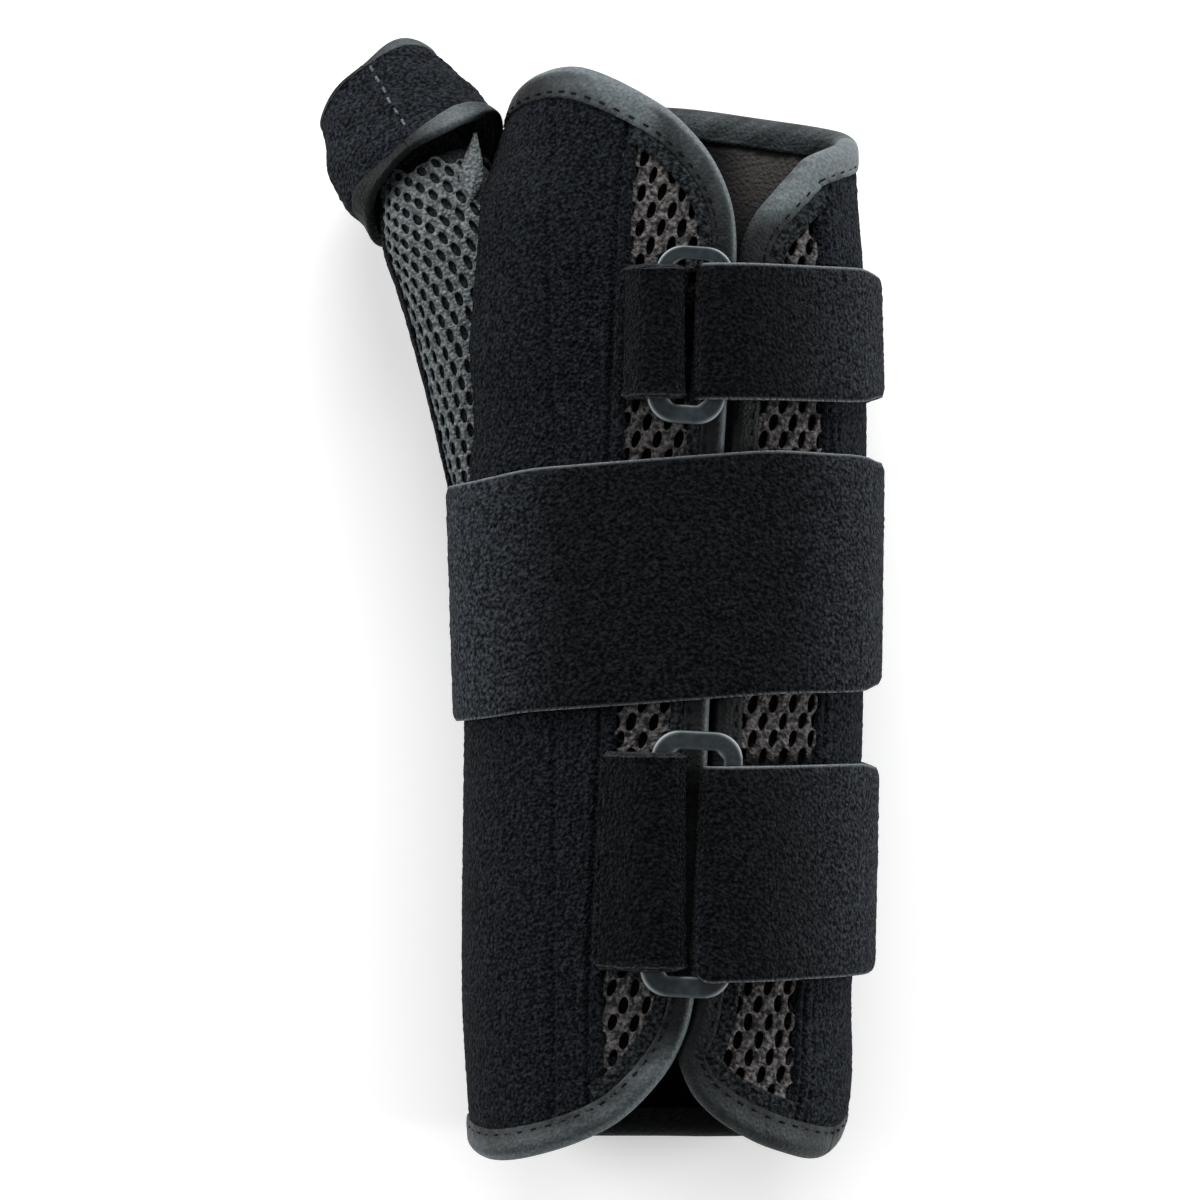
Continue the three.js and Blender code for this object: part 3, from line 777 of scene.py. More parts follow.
def scatter(tile, places):
    """One mesh of copies of a small tile, moved in its plane."""
    count = len(tile.vertices)
    flat = np.empty(count * 3)
    tile.vertices.foreach_get("co", flat)
    points = flat.reshape(1, -1, 3) + places[:, None, :]
    faces = np.array([face.vertices[:] for face in tile.polygons])
    faces = faces[None] + (np.arange(len(places)) * count)[:, None, None]
    mesh = bpy.data.meshes.new(tile.name + " copies")
    mesh.from_pydata(points.reshape(-1, 3), [], faces.reshape(-1, faces.shape[-1]).tolist())
    return mesh


def net_tile(name, pitch_x, pitch_y, strand, narrow, tall, slant):
    """A hexagon with a slanting oval hole. Strand is the share that stays as yarn."""
    bm = bmesh.new()
    bmesh.ops.create_circle(bm, segments=6, radius=1.0, cap_ends=True)
    inner = bmesh.ops.inset_individual(bm, faces=bm.faces[:], thickness=strand)
    holes = [face for face in bm.faces if face not in inner["faces"]]
    bmesh.ops.scale(bm, verts=holes[0].verts, vec=(narrow, tall, 1))
    lean = Matrix.Shear("XZ", 3, (slant, 0))
    bmesh.ops.transform(bm, verts=holes[0].verts, matrix=lean)
    bmesh.ops.delete(bm, geom=holes, context="FACES")
    scale = (pitch_x / math.sqrt(3), pitch_y / 1.5, 1)
    bmesh.ops.scale(bm, verts=bm.verts, vec=scale)
    mesh = bpy.data.meshes.new(name)
    bm.to_mesh(mesh)
    bm.free()
    return mesh


def net_places(low, high, pitch_x, pitch_y):
    """Middles of staggered tiles over a rectangle."""
    rows = np.arange(math.floor(low[1] / pitch_y), math.ceil(high[1] / pitch_y) + 1)
    columns = np.arange(math.floor(low[0] / pitch_x) - 1, math.ceil(high[0] / pitch_x) + 1)
    column, row = np.meshgrid(columns, rows)
    x = (column + 0.5 * (row % 2)) * pitch_x
    return np.stack([x.ravel(), (row * pitch_y).ravel(), np.zeros(x.size)], -1)


def inside_ring(places, ring):
    """Which places lie inside a closed outline."""
    after = np.roll(ring, -1, axis=0)
    x, y = places[:, 0:1], places[:, 1:2]
    spans = (ring[:, 1] > y) != (after[:, 1] > y)
    rise = np.where(after[:, 1] == ring[:, 1], 1e-9, after[:, 1] - ring[:, 1])
    cross = ring[:, 0] + (y - ring[:, 1]) / rise * (after[:, 0] - ring[:, 0])
    return (spans & (x < cross)).sum(axis=1) % 2 == 1


def net_piece(name, tile, places, material):
    """The merged net, still flat."""
    copies = scatter(tile, places)
    bm = bmesh.new()
    bm.from_mesh(copies)
    bpy.data.meshes.remove(copies)
    bmesh.ops.remove_doubles(bm, verts=bm.verts, dist=0.02)
    bmesh.ops.recalc_face_normals(bm, faces=bm.faces)
    if sum(face.normal.z for face in bm.faces) < 0:
        bmesh.ops.reverse_faces(bm, faces=bm.faces)
    return add_object(name, bm, material)


def round_yarn(piece, thickness):
    """Yarn thickness and rounding."""
    thicken(piece, thickness)
    rounding = piece.modifiers.new("round yarn", "SUBSURF")
    rounding.levels = 1
    rounding.render_levels = 1


print("net helpers are ready")

# %% Front mesh strips
FRONT_PITCH_X, FRONT_PITCH_Y, FRONT_STRAND = 4.1, 3.3, 0.36
EDGE_ROOM = 2.9  # from a hole's middle to the raw edge
front_tile = net_tile("front mesh tile", FRONT_PITCH_X, FRONT_PITCH_Y, FRONT_STRAND, 0.64, 1.42, 0.2)


def clear_of(places, edge, room):
    """Which places keep their distance from a flap's raw edge."""
    line = curve_at(edge, np.linspace(0, 1, 900))
    line = np.stack([cloth_around(line[:, 0] / MM_PER_DEGREE), line[:, 1]], -1)
    apart = np.linalg.norm(places[:, None, :2] - line[None], axis=2)
    return apart.min(axis=1) > room


def strap_shade(y):
    """How much of the light the closing straps keep from the mesh at a station."""
    upper = step(y, 34.5, 38.5) * (1 - step(y, 60.5, 65))
    lower = step(y, -72, -68) * (1 - step(y, -31, -27))
    return upper + lower


def front_mesh(name, sides, more, edge, rise, node):
    """A strip of mesh, whose seam side runs on under the pile, and its dark backing."""
    ring = pattern_ring(sides, 80, *more)
    places = net_places(ring.min(axis=0), ring.max(axis=0), FRONT_PITCH_X, FRONT_PITCH_Y)
    places = places[inside_ring(places, ring)]
    places = places[clear_of(places, edge, EDGE_ROOM)]
    piece = net_piece(name, front_tile, places, mesh_yarn)
    flat = read_points(piece)
    flat[:, :2] += random.normal(0, 0.11, (len(flat), 2))
    around = turn_of_cloth(flat[:, 0])
    lay(piece, body_points(around, flat[:, 1], -0.1 + rise(around)))
    mark_points(piece, "shade", strap_shade(flat[:, 1]))
    round_yarn(piece, 0.9)
    hand_over(piece, "spacer_mesh", node)
    declare_panel(piece, sides)
    backing = panel(name + "_backing", sides, 24, 90, backing_cloth, lambda around, y: 0 * y - 1.6, rise)
    finish_panel(backing, sides, 0.8, "lining_cloth")
    print(name, "holes:", len(places))


front_mesh("left_net", left_mesh_sides, (1.2, 0), left_edge, flap_rise, "left_mesh")
front_mesh("right_net", right_mesh_sides, (0, 0.6), right_edge, no_rise, "right_mesh")

# %% [markdown]
# ## Bound edges
# Satin tape is folded over each raw edge and sewn through. The tape rolls round the edge, gathers a little
# where the thread pulls it in, and slopes down to the cloth towards its sides.

# %% Tape helpers
BOUND = 6.0  # width of a bound edge
TAPE_RISE = 0.75  # how far the folded tape stands off the cloth
TAPE_SLOPE = 0.18  # share of its height that a leg loses towards its side
STITCH_IN = 4.9  # how far inside the edge the stitches run
STITCH_PITCH = 3.0


def tape_hug(into, half):
    """The tape's legs slope down to the cloth towards their edges."""
    return 1 - TAPE_SLOPE * step(into, half * 0.8, BOUND)


def tape_section(share, thickness, stand_off=TAPE_RISE):
    """Place across the folded tape, from the inner leg's edge to the outer leg's edge."""
    half = thickness / 2 + stand_off
    straight = BOUND - half
    bend = math.pi * half
    walked = share * (2 * straight + bend)
    angle = np.clip((walked - straight) / half, 0, math.pi)
    into = half - half * np.sin(angle)
    into = into + np.maximum(straight - walked, 0) + np.maximum(walked - straight - bend, 0)
    outward = -half * np.cos(angle)
    return into, outward * tape_hug(into, half)


def gathers(walked, into):
    """Small puckers beside the stitches."""
    even_wave = np.sin(2 * math.pi * walked / STITCH_PITCH)
    uneven_wave = 0.6 * np.sin(walked * 1.31 + 2 * np.sin(walked * 0.23))
    return 0.16 * (even_wave + uneven_wave) * bump(into - STITCH_IN, 1.5)


def painted_fold_light(walked, into):
    """Painted light and shade in soft slanting bands, as from folds that catch the light."""
    slanted = walked + 1.5 * into
    return 0.2 * np.sin(slanted * 0.45 + 1.3 * np.sin(slanted * 0.11)) + 0.15 * np.sin(slanted * 1.7)


def tape_on_edge(edge, at, into, outward, rise):
    places = edge_at(edge, at, into)
    around = places[:, 0] / MM_PER_DEGREE
    return body_points(around, places[:, 1], outward - WALL / 2 + rise(around))


def even_places(edge, start, end, rise, count):
    """Places along an edge at even lengths, with the lengths."""
    at = np.linspace(start, end, 1200)
    line = tape_on_edge(edge, at, np.zeros(len(at)), np.zeros(len(at)), rise)
    lengths = lengths_along(line)
    spaced = np.linspace(0, lengths[-1], count)
    return np.interp(spaced, lengths, at), spaced


def stitch_tile():
    """One short stitch of thread, lying along x."""
    bm = bmesh.new()
    bmesh.ops.create_cone(bm, cap_ends=True, segments=6, radius1=0.2, radius2=0.2, depth=1.3)
    bmesh.ops.rotate(bm, verts=bm.verts, matrix=Matrix.Rotation(math.pi / 2, 3, "Y"))
    ends = [edge for edge in bm.edges if abs(edge.verts[0].co.x - edge.verts[1].co.x) < 0.1]
    bmesh.ops.bevel(bm, geom=ends, affect="EDGES", offset=0.12, segments=1, profile=0.5, material=-1)
    mesh = bpy.data.meshes.new("stitch")
    bm.to_mesh(mesh)
    bm.free()
    return mesh


STITCH = stitch_tile()


def stitch_row(name, line, normals, material, size=1.0):
    """Stitches along a line of points, one at each point, lying along the line."""
    ahead = unit(np.gradient(line, axis=0))
    side = unit(np.cross(normals, ahead))
    upward = np.cross(ahead, side)
    turns = []
    for place, *axes in zip(line, ahead, side, upward):
        turn = Matrix(axes).transposed().to_4x4()
        turn.translation = Vector(place)
        turns.append(turn @ Matrix.Scale(size, 4))
    bm = bmesh.new()
    add_copies(bm, STITCH, turns)
    piece = add_object(name, bm, material)
    lay(piece, read_points(piece))
    hand_over(piece, "satin_tape")
    print("%s: %d" % (name, len(line)))


def bound_edge(name, node, edge, start, end, rise, light, roll):
    """Tape over a stretch of an edge, with its stitches. Light and roll give the painted highlights on the
    tape and on its fold.
    """
    columns = int(even_places(edge, start, end, rise, 2)[1][-1] / 0.9)
    at, lengths = even_places(edge, start, end, rise, columns + 1)
    piece = cloth_grid(name, columns, 22, satin_tape)
    flat = read_points(piece)
    column = np.rint(flat[:, 0] * columns).astype(int)
    into, outward = tape_section(flat[:, 1], WALL)
    outward = outward + np.sign(outward) * gathers(lengths[column], into)
    points = tape_on_edge(edge, at[column], into, outward, rise)
    lay(piece, points)
    # Painted highlights: on the rolled fold, across the tape's width, and in slanting bands.
    roll_highlight = roll * bump(into - 0.45, 0.55) * (outward > 0)
    painted_sheen = 0.45 + 0.65 * bump(into - 2.8, 1.7) + painted_fold_light(lengths[column], into)
    mark_points(piece, "light", light(points) * painted_sheen + roll_highlight)
    thicken(piece, 0.5)
    hand_over(piece, "satin_tape", node)
    stitches = max(int(lengths[-1] / STITCH_PITCH), 2)
    at, lengths = even_places(edge, start, end, rise, stitches)
    into = np.full(stitches, STITCH_IN)
    half = WALL / 2 + TAPE_RISE
    outward = np.full(stitches, half * tape_hug(STITCH_IN, half) + 0.02)
    line = tape_on_edge(edge, at, into, outward, rise)
    normals = tape_on_edge(edge, at, into, outward + 1, rise) - line
    stitch_row(name + "_stitches", line, normals, thread)
    print("%s: %.0f mm of tape" % (name, lengths[-1]))


print("tape helpers are ready")

# %% [markdown]
# Satin shines only where the light strikes it well, so each tape has painted highlights of its own, by place.

# %% Tapes
TAPE_END = 0.0003  # share of an edge left free at a tape's end
finger_corner, forearm_corner = right_mark("finger corner"), right_mark("forearm corner")


def left_light(points):
    x, y = points[:, 0], points[:, 1]
    over_top = 1.12 * step(x, -14, 4) * (1 - 0.78 * step(x, 7, 13)) * step(y, 62, 84)
    at_corner = 0.45 * bump(y + 87.5, 4.8)
    return -0.02 + over_top + at_corner + 0.39 * (1 - step(y, -96, -80))


def right_light(points):
    y = points[:, 1]
    return -0.03 + 2.1 * step(y, 67, 84) + 0.29 * (1 - step(y, -101, -84))


def back_top_light(points):
    return 0.5 + 0.3 * step(points[:, 2], 12, 26)


def back_bottom_light(points):
    return 0.28 * step(points[:, 2], 10, 26)


before_finger, after_forearm = finger_corner - TAPE_END, forearm_corner + TAPE_END
last = 1 - TAPE_END
bound_edge("left_tape", "left_binding", left_edge, TAPE_END, last, flap_rise, left_light, 2.6)
for name, node, start, end, light, roll in (
    ("back_top_tape", "back_top_binding", TAPE_END, before_finger, back_top_light, 0.1),
    ("right_tape", "right_binding", finger_corner, forearm_corner, right_light, 0.1),
    ("back_bottom_tape", "back_bottom_binding", after_forearm, last, back_bottom_light, 0.0),
):
    bound_edge(name, node, right_edge, start, end, no_rise, light, roll)

# %% [markdown]
# A row of grey stitches runs in the groove beside the left flap's mesh seam.

# %% Seam stitches
seam_y = np.arange(-88, 84, STITCH_PITCH)
seam_around = turn_of_cloth(cloth_around(front_seam_turn(seam_y)) - SEAM_STITCH_IN)
seam_line = body_points(seam_around, seam_y, flap_rise(seam_around) - 0.55)
seam_normals = body_points(seam_around, seam_y, flap_rise(seam_around) + 0.45) - seam_line
stitch_row("front_seam_stitches", seam_line, seam_normals, grey_thread)

# %% [markdown]
# Between the tape and the mesh runs a narrow dark facing, which keeps the mesh from fraying. It is a plain
# strip that lies on the mesh and tucks under the tape.

# %% Facings
FACING_FROM = 3.0  # distance inside the raw edge, under the tape
NARROW = 0.0102  # flat width given for narrow strips, which nothing here reads


def left_reach(y):
    """How far from the raw edge the left facing reaches."""
    return 9.2 + 0 * y


def right_reach(y):
    """The right facing shows only beside the flap's two corners."""
    return 6.2 + 3 * (step(y, 45, 62) + 1 - step(y, -74, -62))


def facing(name, edge, start, end, rise, reach):
    columns = int(even_places(edge, start, end, rise, 2)[1][-1] / 0.8)
    at, lengths = even_places(edge, start, end, rise, columns + 1)
    piece = cloth_grid(name, columns, 6, facing_cloth)
    flat = read_points(piece)
    column = np.rint(flat[:, 0] * columns).astype(int)
    wide = reach(edge_at(edge, at, 0 * at)[:, 1]) - FACING_FROM
    into = FACING_FROM + wide[column] * flat[:, 1]
    ruffle = 0.12 * np.sin(2 * math.pi * lengths[column] / STITCH_PITCH) * flat[:, 1]
    tuck_under = 0.45 * (1 - step(into, 5.8, 7))
    outward = WALL / 2 + 0.5 - tuck_under + ruffle + pile_height(len(flat), 0.05)
    lay(piece, tape_on_edge(edge, at[column], into, outward, rise))
    thicken(piece, 0.4)
    hand_over(piece, "satin_tape")
    print("%s: %.0f mm" % (name, lengths[-1]))


facing("left_facing", left_edge, left_mark("bottom seam"), left_mark("top seam"), flap_rise, left_reach)
facing("right_facing", right_edge, right_mark("top seam"), right_mark("bottom seam"), no_rise, right_reach)

# %% [markdown]
# ## Thumb gusset and cuff
# A tapered mesh gusset leads from the sleeve to the thumb, with pile cloth behind it. A short pile cuff with
# two bound rims sits over the gusset's end.

# %% Thumb forms
GUSSET = table(
    "along x y z half_width half_depth tilt lean",
    [
        (-0.05, -23.4, 19.8, 25.5, 5, 5.6, 7.5, 0),
        (0, -23.4, 23.2, 25.6, 5.6, 6.2, 8, 0),
        (0.2, -23.4, 39, 26, 9.2, 9.2, 10, 2),
        (0.46, -25.6, 60, 27, 12.6, 10.4, 16, 8),
        (0.65, -29.8, 73, 27.4, 12.8, 8.6, 29, 20),
        (0.8, -33.8, 81.6, 24.4, 9.8, 7.4, 36, 28),
        (1, -39.4, 90, 18.8, 9, 6.6, 36, 30),
    ],
)
CUFF = table(
    "along x y z half_width half_depth tilt lean",
    [
        (-0.2, -29.8, 76.4, 28.2, 16, 13.3, 38.8, 30),
        (0, -32.2, 80, 25.8, 15.6, 12.6, 38, 30),
        (0.5, -38.1, 88.9, 19.9, 14.7, 10.8, 36, 30),
        (1, -42.9, 97.8, 14.4, 11.9, 8.8, 34, 30),
        (1.2, -44.7, 101.3, 12.2, 11, 8.1, 33.4, 30),
    ],
)
CUFF_LENGTH = 23.6
CUFF_WALL = 1.3


def thumb_points(form, around, along, out):
    """Points by degrees around from the upward side, place along from 0 to 1, and distance outside."""
    around, along, out = np.broadcast_arrays(np.asarray(around, float), along, out)
    x, y, z, half_width, half_depth, tilt, lean = (
        smooth(form, "along", column, along)
        for column in ("x", "y", "z", "half_width", "half_depth", "tilt", "lean")
    )
    angle, tilt, lean = np.radians(around), np.radians(tilt), np.radians(lean)
    across = np.stack([np.cos(tilt), np.sin(tilt), 0 * tilt], -1)
    upward = np.stack([-np.sin(tilt) * np.sin(lean), np.cos(tilt) * np.sin(lean), np.cos(lean)], -1)
    normal = np.stack([np.sin(angle) / half_width, np.cos(angle) / half_depth])
    normal /= np.linalg.norm(normal, axis=0)
    sideways = half_width * np.sin(angle) + out * normal[0]
    outward = half_depth * np.cos(angle) + out * normal[1]
    return np.stack([x, y, z], -1) + across * sideways[..., None] + upward * outward[..., None]


def inside_body(points):
    """Distance of points from the sleeve's middle line, as a share of its radius there."""
    left, right, depth = (smooth(BODY, "y", column, points[:, 1]) for column in ("left", "right", "depth"))
    middle = np.stack([(left + right) / 2, points[:, 1], FLOOR_LIFT + depth * (1 - TOP_SHARE)], -1)
    away = points - middle
    surface = body_points(np.degrees(np.arctan2(away[:, 0], away[:, 2])), points[:, 1], 0.0)
    return np.linalg.norm(away, axis=1) / np.linalg.norm(surface - middle, axis=1)


def drop_inside(piece, points, share):
    """Deletes the points of a piece that lie deep inside the sleeve."""
    bm = bmesh.new()
    bm.from_mesh(piece.data)
    bm.verts.ensure_lookup_table()
    deep = [bm.verts[i] for i in np.flatnonzero(inside_body(points) < share)]
    bmesh.ops.delete(bm, geom=deep, context="VERTS")
    bm.to_mesh(piece.data)
    bm.free()


print("thumb forms:", len(GUSSET["y"]), "and", len(CUFF["y"]), "stations")

# %% Gusset
GUSSET_SIDE = 95
GUSSET_LENGTH = 76.0
GUSSET_PITCH_X, GUSSET_PITCH_Y, GUSSET_STRAND = 2.75, 2.8, 0.36
gusset_tile = net_tile("thumb mesh tile", GUSSET_PITCH_X, GUSSET_PITCH_Y, GUSSET_STRAND, 0.76, 1.32, -0.2)


def gusset_out(places):
    """Flat places to the gusset: x is cloth around from its middle and y cloth along it."""
    along = np.clip(places[:, 1] / GUSSET_LENGTH, -0.05, 1)
    width = smooth(GUSSET, "along", "half_width", along)
    depth = smooth(GUSSET, "along", "half_depth", along)
    around = np.degrees(places[:, 0] / ((width + depth) / 2))
    return around, along


places = net_places((-26, -2), (26, GUSSET_LENGTH), GUSSET_PITCH_X, GUSSET_PITCH_Y)
turn, along = gusset_out(places)
tile_points = thumb_points(GUSSET, turn, along, 0.0)
below_cuff = tile_points[:, 1] < 80.9 + 0.227 * (tile_points[:, 0] + 40.7)
clear_of_panel = tile_points[:, 0] < -23.5 + 20 * step(-tile_points[:, 1], -76, -66)
kept = places[(turn > -80) & (turn < GUSSET_SIDE) & (places[:, 1] > -1.5) & below_cuff & clear_of_panel]
thumb_net = net_piece("thumb_net", gusset_tile, kept, thumb_yarn)
thumb_flat = read_points(thumb_net)
thumb_flat[:, :2] += random.normal(0, 0.08, (len(thumb_flat), 2))
turn, along = gusset_out(thumb_flat)
net_points = thumb_points(GUSSET, turn, along, 0.0)
lay(thumb_net, net_points)
drop_inside(thumb_net, net_points, 0.97)
round_yarn(thumb_net, 0.7)
hand_over(thumb_net, "thumb_mesh", "thumb_mesh")
print("thumb mesh holes:", len(kept))


def gusset_cloth(name, start, end, top, out, depth, material, *nodes):
    """Cloth on part of the gusset's round, up to a share of its length."""
    piece = cloth_grid(name, 60, 100, material)
    flat = read_points(piece)
    turn = start + (end - start) * flat[:, 0]
    along = (top + 0.04) * flat[:, 1] - 0.04
    points = thumb_points(GUSSET, turn, along, out + pile_height(len(flat), depth))
    lay(piece, points)
    drop_inside(piece, points, 0.95)
    thicken(piece, 0.8)
    hand_over(piece, "pile_cloth", *nodes)


gusset_cloth("thumb_net_backing", -GUSSET_SIDE, GUSSET_SIDE, 0.76, -0.9, 0.0, thumb_backing)
gusset_cloth("thumb_back_cloth", GUSSET_SIDE - 8, 288, 1.0, 0.4, 0.06, pile_cloth, "thumb_back")

# %% [markdown]
# The mesh's edge beside the panel is turned over into a narrow plain fold that ends in a point at the cuff.

# %% Folded mesh edge
FOLD_LEFT = np.array([(-24.6, 75.5, 34.6), (-26.8, 79, 34), (-26.2, 82.5, 32.4), (-24.1, 88.2, 29.6)])
FOLD_RIGHT = np.array([(-23.8, 75.5, 34.6), (-22.4, 78.5, 34), (-22.2, 82, 32.4), (-23.4, 88.6, 29.4)])
mesh_fold = cloth_grid("thumb_fold", 8, 40, thumb_yarn)
flat = read_points(mesh_fold)
fold_share = flat[:, 0:1]
fold_bulge = np.stack([0 * flat[:, 0], 0 * flat[:, 0], 1.1 * np.sin(math.pi * flat[:, 0])], -1)
left_line, right_line = curve_at(FOLD_LEFT, flat[:, 1]), curve_at(FOLD_RIGHT, flat[:, 1])
fold_line = left_line * (1 - fold_share) + right_line * fold_share
lay(mesh_fold, fold_line + fold_bulge)
thicken(mesh_fold, 0.6)
hand_over(mesh_fold, "thumb_mesh")
print("folded edge:", len(mesh_fold.data.polygons), "faces")

# %% [markdown]
# The cuff is a tube on its own form, closed where its ends meet. Its tapes are narrow at the back of each rim
# and wide where they show.

# %% Cuff


def cuff_grid(name, sides, rows, material, shape, light=None):
    """A tube round the cuff. Shape gives the place along in millimetres and the distance outside."""
    piece = cloth_grid(name, sides, rows, material)
    flat = read_points(piece)
    along, out = shape(flat[:, 0], flat[:, 1])
    lay(piece, thumb_points(CUFF, 360 * flat[:, 0], along / CUFF_LENGTH, out))
    if light is not None:
        mark_points(piece, "light", light(flat[:, 0]))
    merge_ends(piece, 0.02)
    print("%s: %d faces" % (name, len(piece.data.polygons)))
    return piece


def near(turn, middle, spread):
    """How near a place round the cuff is to a middle, both in degrees: 1 there, and 0 beyond the spread."""
    apart = np.abs((360 * turn - middle + 180) % 360 - 180)
    return 1 - step(apart, 0, spread)


def top_rim(turn):
    """The top rim stands up a little on the side towards the palm."""
    return CUFF_LENGTH + 3.0 * near(turn, 48, 62)


def lower_rim(turn):
    """The lower rim hangs down a little on the outer side and in front, and less towards the palm."""
    return -1.2 * near(turn, -115, 70) - 1.4 * near(turn, 25, 40) + 1.8 * near(turn, 95, 45)


def top_width(turn):
    return 0.8 + 1.9 * near(turn, 50, 55)


def lower_width(turn):
    return 1.0 + 3.4 * near(turn, 42, 60) + 2.4 * near(turn, -60, 70)


def cuff_swell(turn, along):
    """The cuff is softly dented, swells at its sides, and turns in at its lower rim on the outer side."""
    dents = 0.3 * np.sin(turn * 31 + along * 0.3) * np.sin(along * 0.41 + 1)
    sides = near(turn, -95, 60) * bump(along - 12, 7) + 0.8 * near(turn, 95, 60)
    turned_in = 2.4 * near(turn, -55, 70) * (1 - step(along, -1, 5))
    return 0.5 + 0.5 * (1 - step(along, 0, CUFF_LENGTH)) + dents + sides - turned_in


def cuff_wall(turn, share):
    low, high = lower_rim(turn) + 0.8, top_rim(turn) - 0.8
    along = low + (high - low) * share
    return along, cuff_swell(turn, along) + pile_height(len(turn), 0.08)


def rim_tape(rim, reach, width):
    """Tape folded over a rim. Width is how far its legs reach from the rim."""

    def shape(turn, share):
        into, outward = tape_section(share, CUFF_WALL, 0.4)
        outward = outward + np.sign(outward) * gathers(turn * 80, into) * 0.4
        along = rim(turn) + reach * into * width(turn) / BOUND
        return along, outward - CUFF_WALL / 2 + cuff_swell(turn, along)

    return shape


cuff = cuff_grid("cuff_cloth", 150, 40, pile_cloth, cuff_wall)
# Painted light, evenly over the cuff.
mark_points(cuff, "painted_light", np.full(len(cuff.data.vertices), 0.22))
thicken(cuff, CUFF_WALL)
hand_over(cuff, "pile_cloth", "thumb_cuff")


def lower_light(turn):
    """Painted highlight on the lower rim's tape, on the side towards the palm only."""
    return -0.03 + 0.78 * near(turn, 40, 42)


# Painted highlight on the top rim's tape, towards the palm.
def top_light(turn):
    return 0.05 + 0.45 * near(turn, 45, 70)


for name, node, rim, reach, width, light, flat in (
    ("cuff_lower_tape", "cuff_lower_binding", lower_rim, 1, lower_width, lower_light, (NARROW, 0.085)),
    ("cuff_top_tape", "cuff_top_binding", top_rim, -1, top_width, top_light, (NARROW, 0.063)),
):
    tape = cuff_grid(name, 120, 20, satin_tape, rim_tape(rim, reach, width), light)
    thicken(tape, 0.4)
    hand_over(tape, "satin_tape", node)

# %% [markdown]
# The cuff is closed by a short row of light stitches along it, from its top rim down.

# %% Cuff stitches
DASHES = 6
dash_along = np.linspace(0.22, 0.92, DASHES)
dash_turn = 7 + random.normal(0, 1.0, DASHES)
dash_out = 0.12 + cuff_swell(dash_turn / 360, dash_along * CUFF_LENGTH)
dashes = thumb_points(CUFF, dash_turn, dash_along, dash_out)
dash_normals = thumb_points(CUFF, dash_turn, dash_along, dash_out + 1) - dashes
stitch_row("cuff_stitches", dashes, dash_normals, light_thread, 1.4)

# %% [markdown]
# ## Straps and tabs
# Each closing strap is sewn under the back, comes up the right side, turns round the loop's bar and doubles
# back on itself. A short tab holds the loop's other bar. The middle strap goes once round the wrist and
# laps itself on the right.

# %% Strap paths
STRAP = 1.6  # one layer of strap
GAP = 0.15  # between a strap and what it lies on
RING_OUT = 6.0  # from the pile face to the middle of a loop
FOLD_HALF = 2.35  # half the distance between a fold's two layers
FOLD_REACH, FOLD_UNDER = 2.05, 1.65  # from the loop's middle to the fold, at its turn and under the bar
FOLD_STRAIGHT, FOLD_TAIL = 3.7, 8.4  # from the loop's middle to where the layers begin and end
FOLD_LEAD, FOLD_DROP = 13, 1.6  # where a strap leaves its fold, and how far it has come down there
WINDOW_ROOM = 0.4  # between a strap's side and the loop's short bar
CLOSURES = {
    "upper": {
        "y": 48.95,
        "ring_x": 16.6,
        "ring_height": 33.1,
        "ring_width": 14.6,
        "bars": (3.6, 2.5),  # widths of the loop's lower and upper bar
        "slant": -4.0,
        "lean": -1.5,  # degrees that the strap's fold leans with the loop
        "tab_start": 5.4,
        "flare": 0.0,  # how far the strap's lower edge stands off at the right side
        # an even lift in the strap's tone
        "even_lift": 0.0,
    },
    "lower": {
        "y": -49.4,
        "ring_x": 16.6,
        "ring_height": 49.5,
        "ring_width": 17.1,
        "bars": (4.0, 3.5),
        "slant": -3.0,
        "lean": -3.0,
        "tab_start": 0.9,
        "flare": 0.9,
        # an even lift in the strap's tone
        "even_lift": 0.06,
    },
}
STRAP_CUTS = {"upper": (49.6, 25.4), "lower": (-51.2, 40)}  # station of the middle, and width
TAB_CUTS = {"upper": (49.6, 25), "lower": (-48.9, 40.6)}
MIDDLE_CUT = (1.8, 44.5)
MIDDLE_SLOPE, MIDDLE_X = 0.078, 12.5
TUCK = 1.3  # how far a strap's edges draw in at the right side


def ring_frame(closure):
    """A loop's middle, the way around the sleeve, and the way out."""
    turn = around_at(closure["ring_x"], closure["y"])
    middle = body_points(turn, closure["y"], RING_OUT)
    outward = unit(body_points(turn, closure["y"], 1.0) - body_points(turn, closure["y"], 0.0))
    sideways = np.array([outward[2], 0, -outward[0]])
    return middle, sideways, outward


def at_station(points, y):
    points = np.array(points, float)
    points[:, 1] = y
    return points


def fold_points(closure, side, y):
    """A fold round one of the loop's long bars. Cloth draws in where it passes through the window."""
    middle, sideways, outward = ring_frame(closure)
    if side > 0:
        middle = middle - sideways * math.tan(math.radians(closure["lean"])) * (y - closure["y"])
    rows = [
        (FOLD_TAIL, -FOLD_HALF),
        (FOLD_STRAIGHT, -FOLD_HALF),
        (FOLD_UNDER, -FOLD_HALF * 0.65),
        (FOLD_REACH, 0.4),
        (FOLD_STRAIGHT, FOLD_HALF),
        (FOLD_TAIL, FOLD_HALF),
    ]
    points = at_station([middle + sideways * side * a + outward * b for a, b in rows], y)
    half = closure["ring_height"] / 2 - WINDOW_ROOM
    low, high = closure["bars"]
    points[2:4, 1] = np.clip(y, closure["y"] - half + low, closure["y"] + half - high)
    return points


def strap_points(start, end, count, y, out, askew):
    """Middle line of a strap on the sleeve at even turns. Askew moves its stations by x."""
    around = np.linspace(start, end, count)
    x = body_points(around, y, 0.0)[:, 0]
    return body_points(around, y + askew(x), out(around) + STRAP / 2)


def tucked(middle, y):
    """A strap's edges draw in where it turns down the right side."""
    return lambda x: -math.copysign(TUCK, y - middle) * step(x, 46.5, 51)


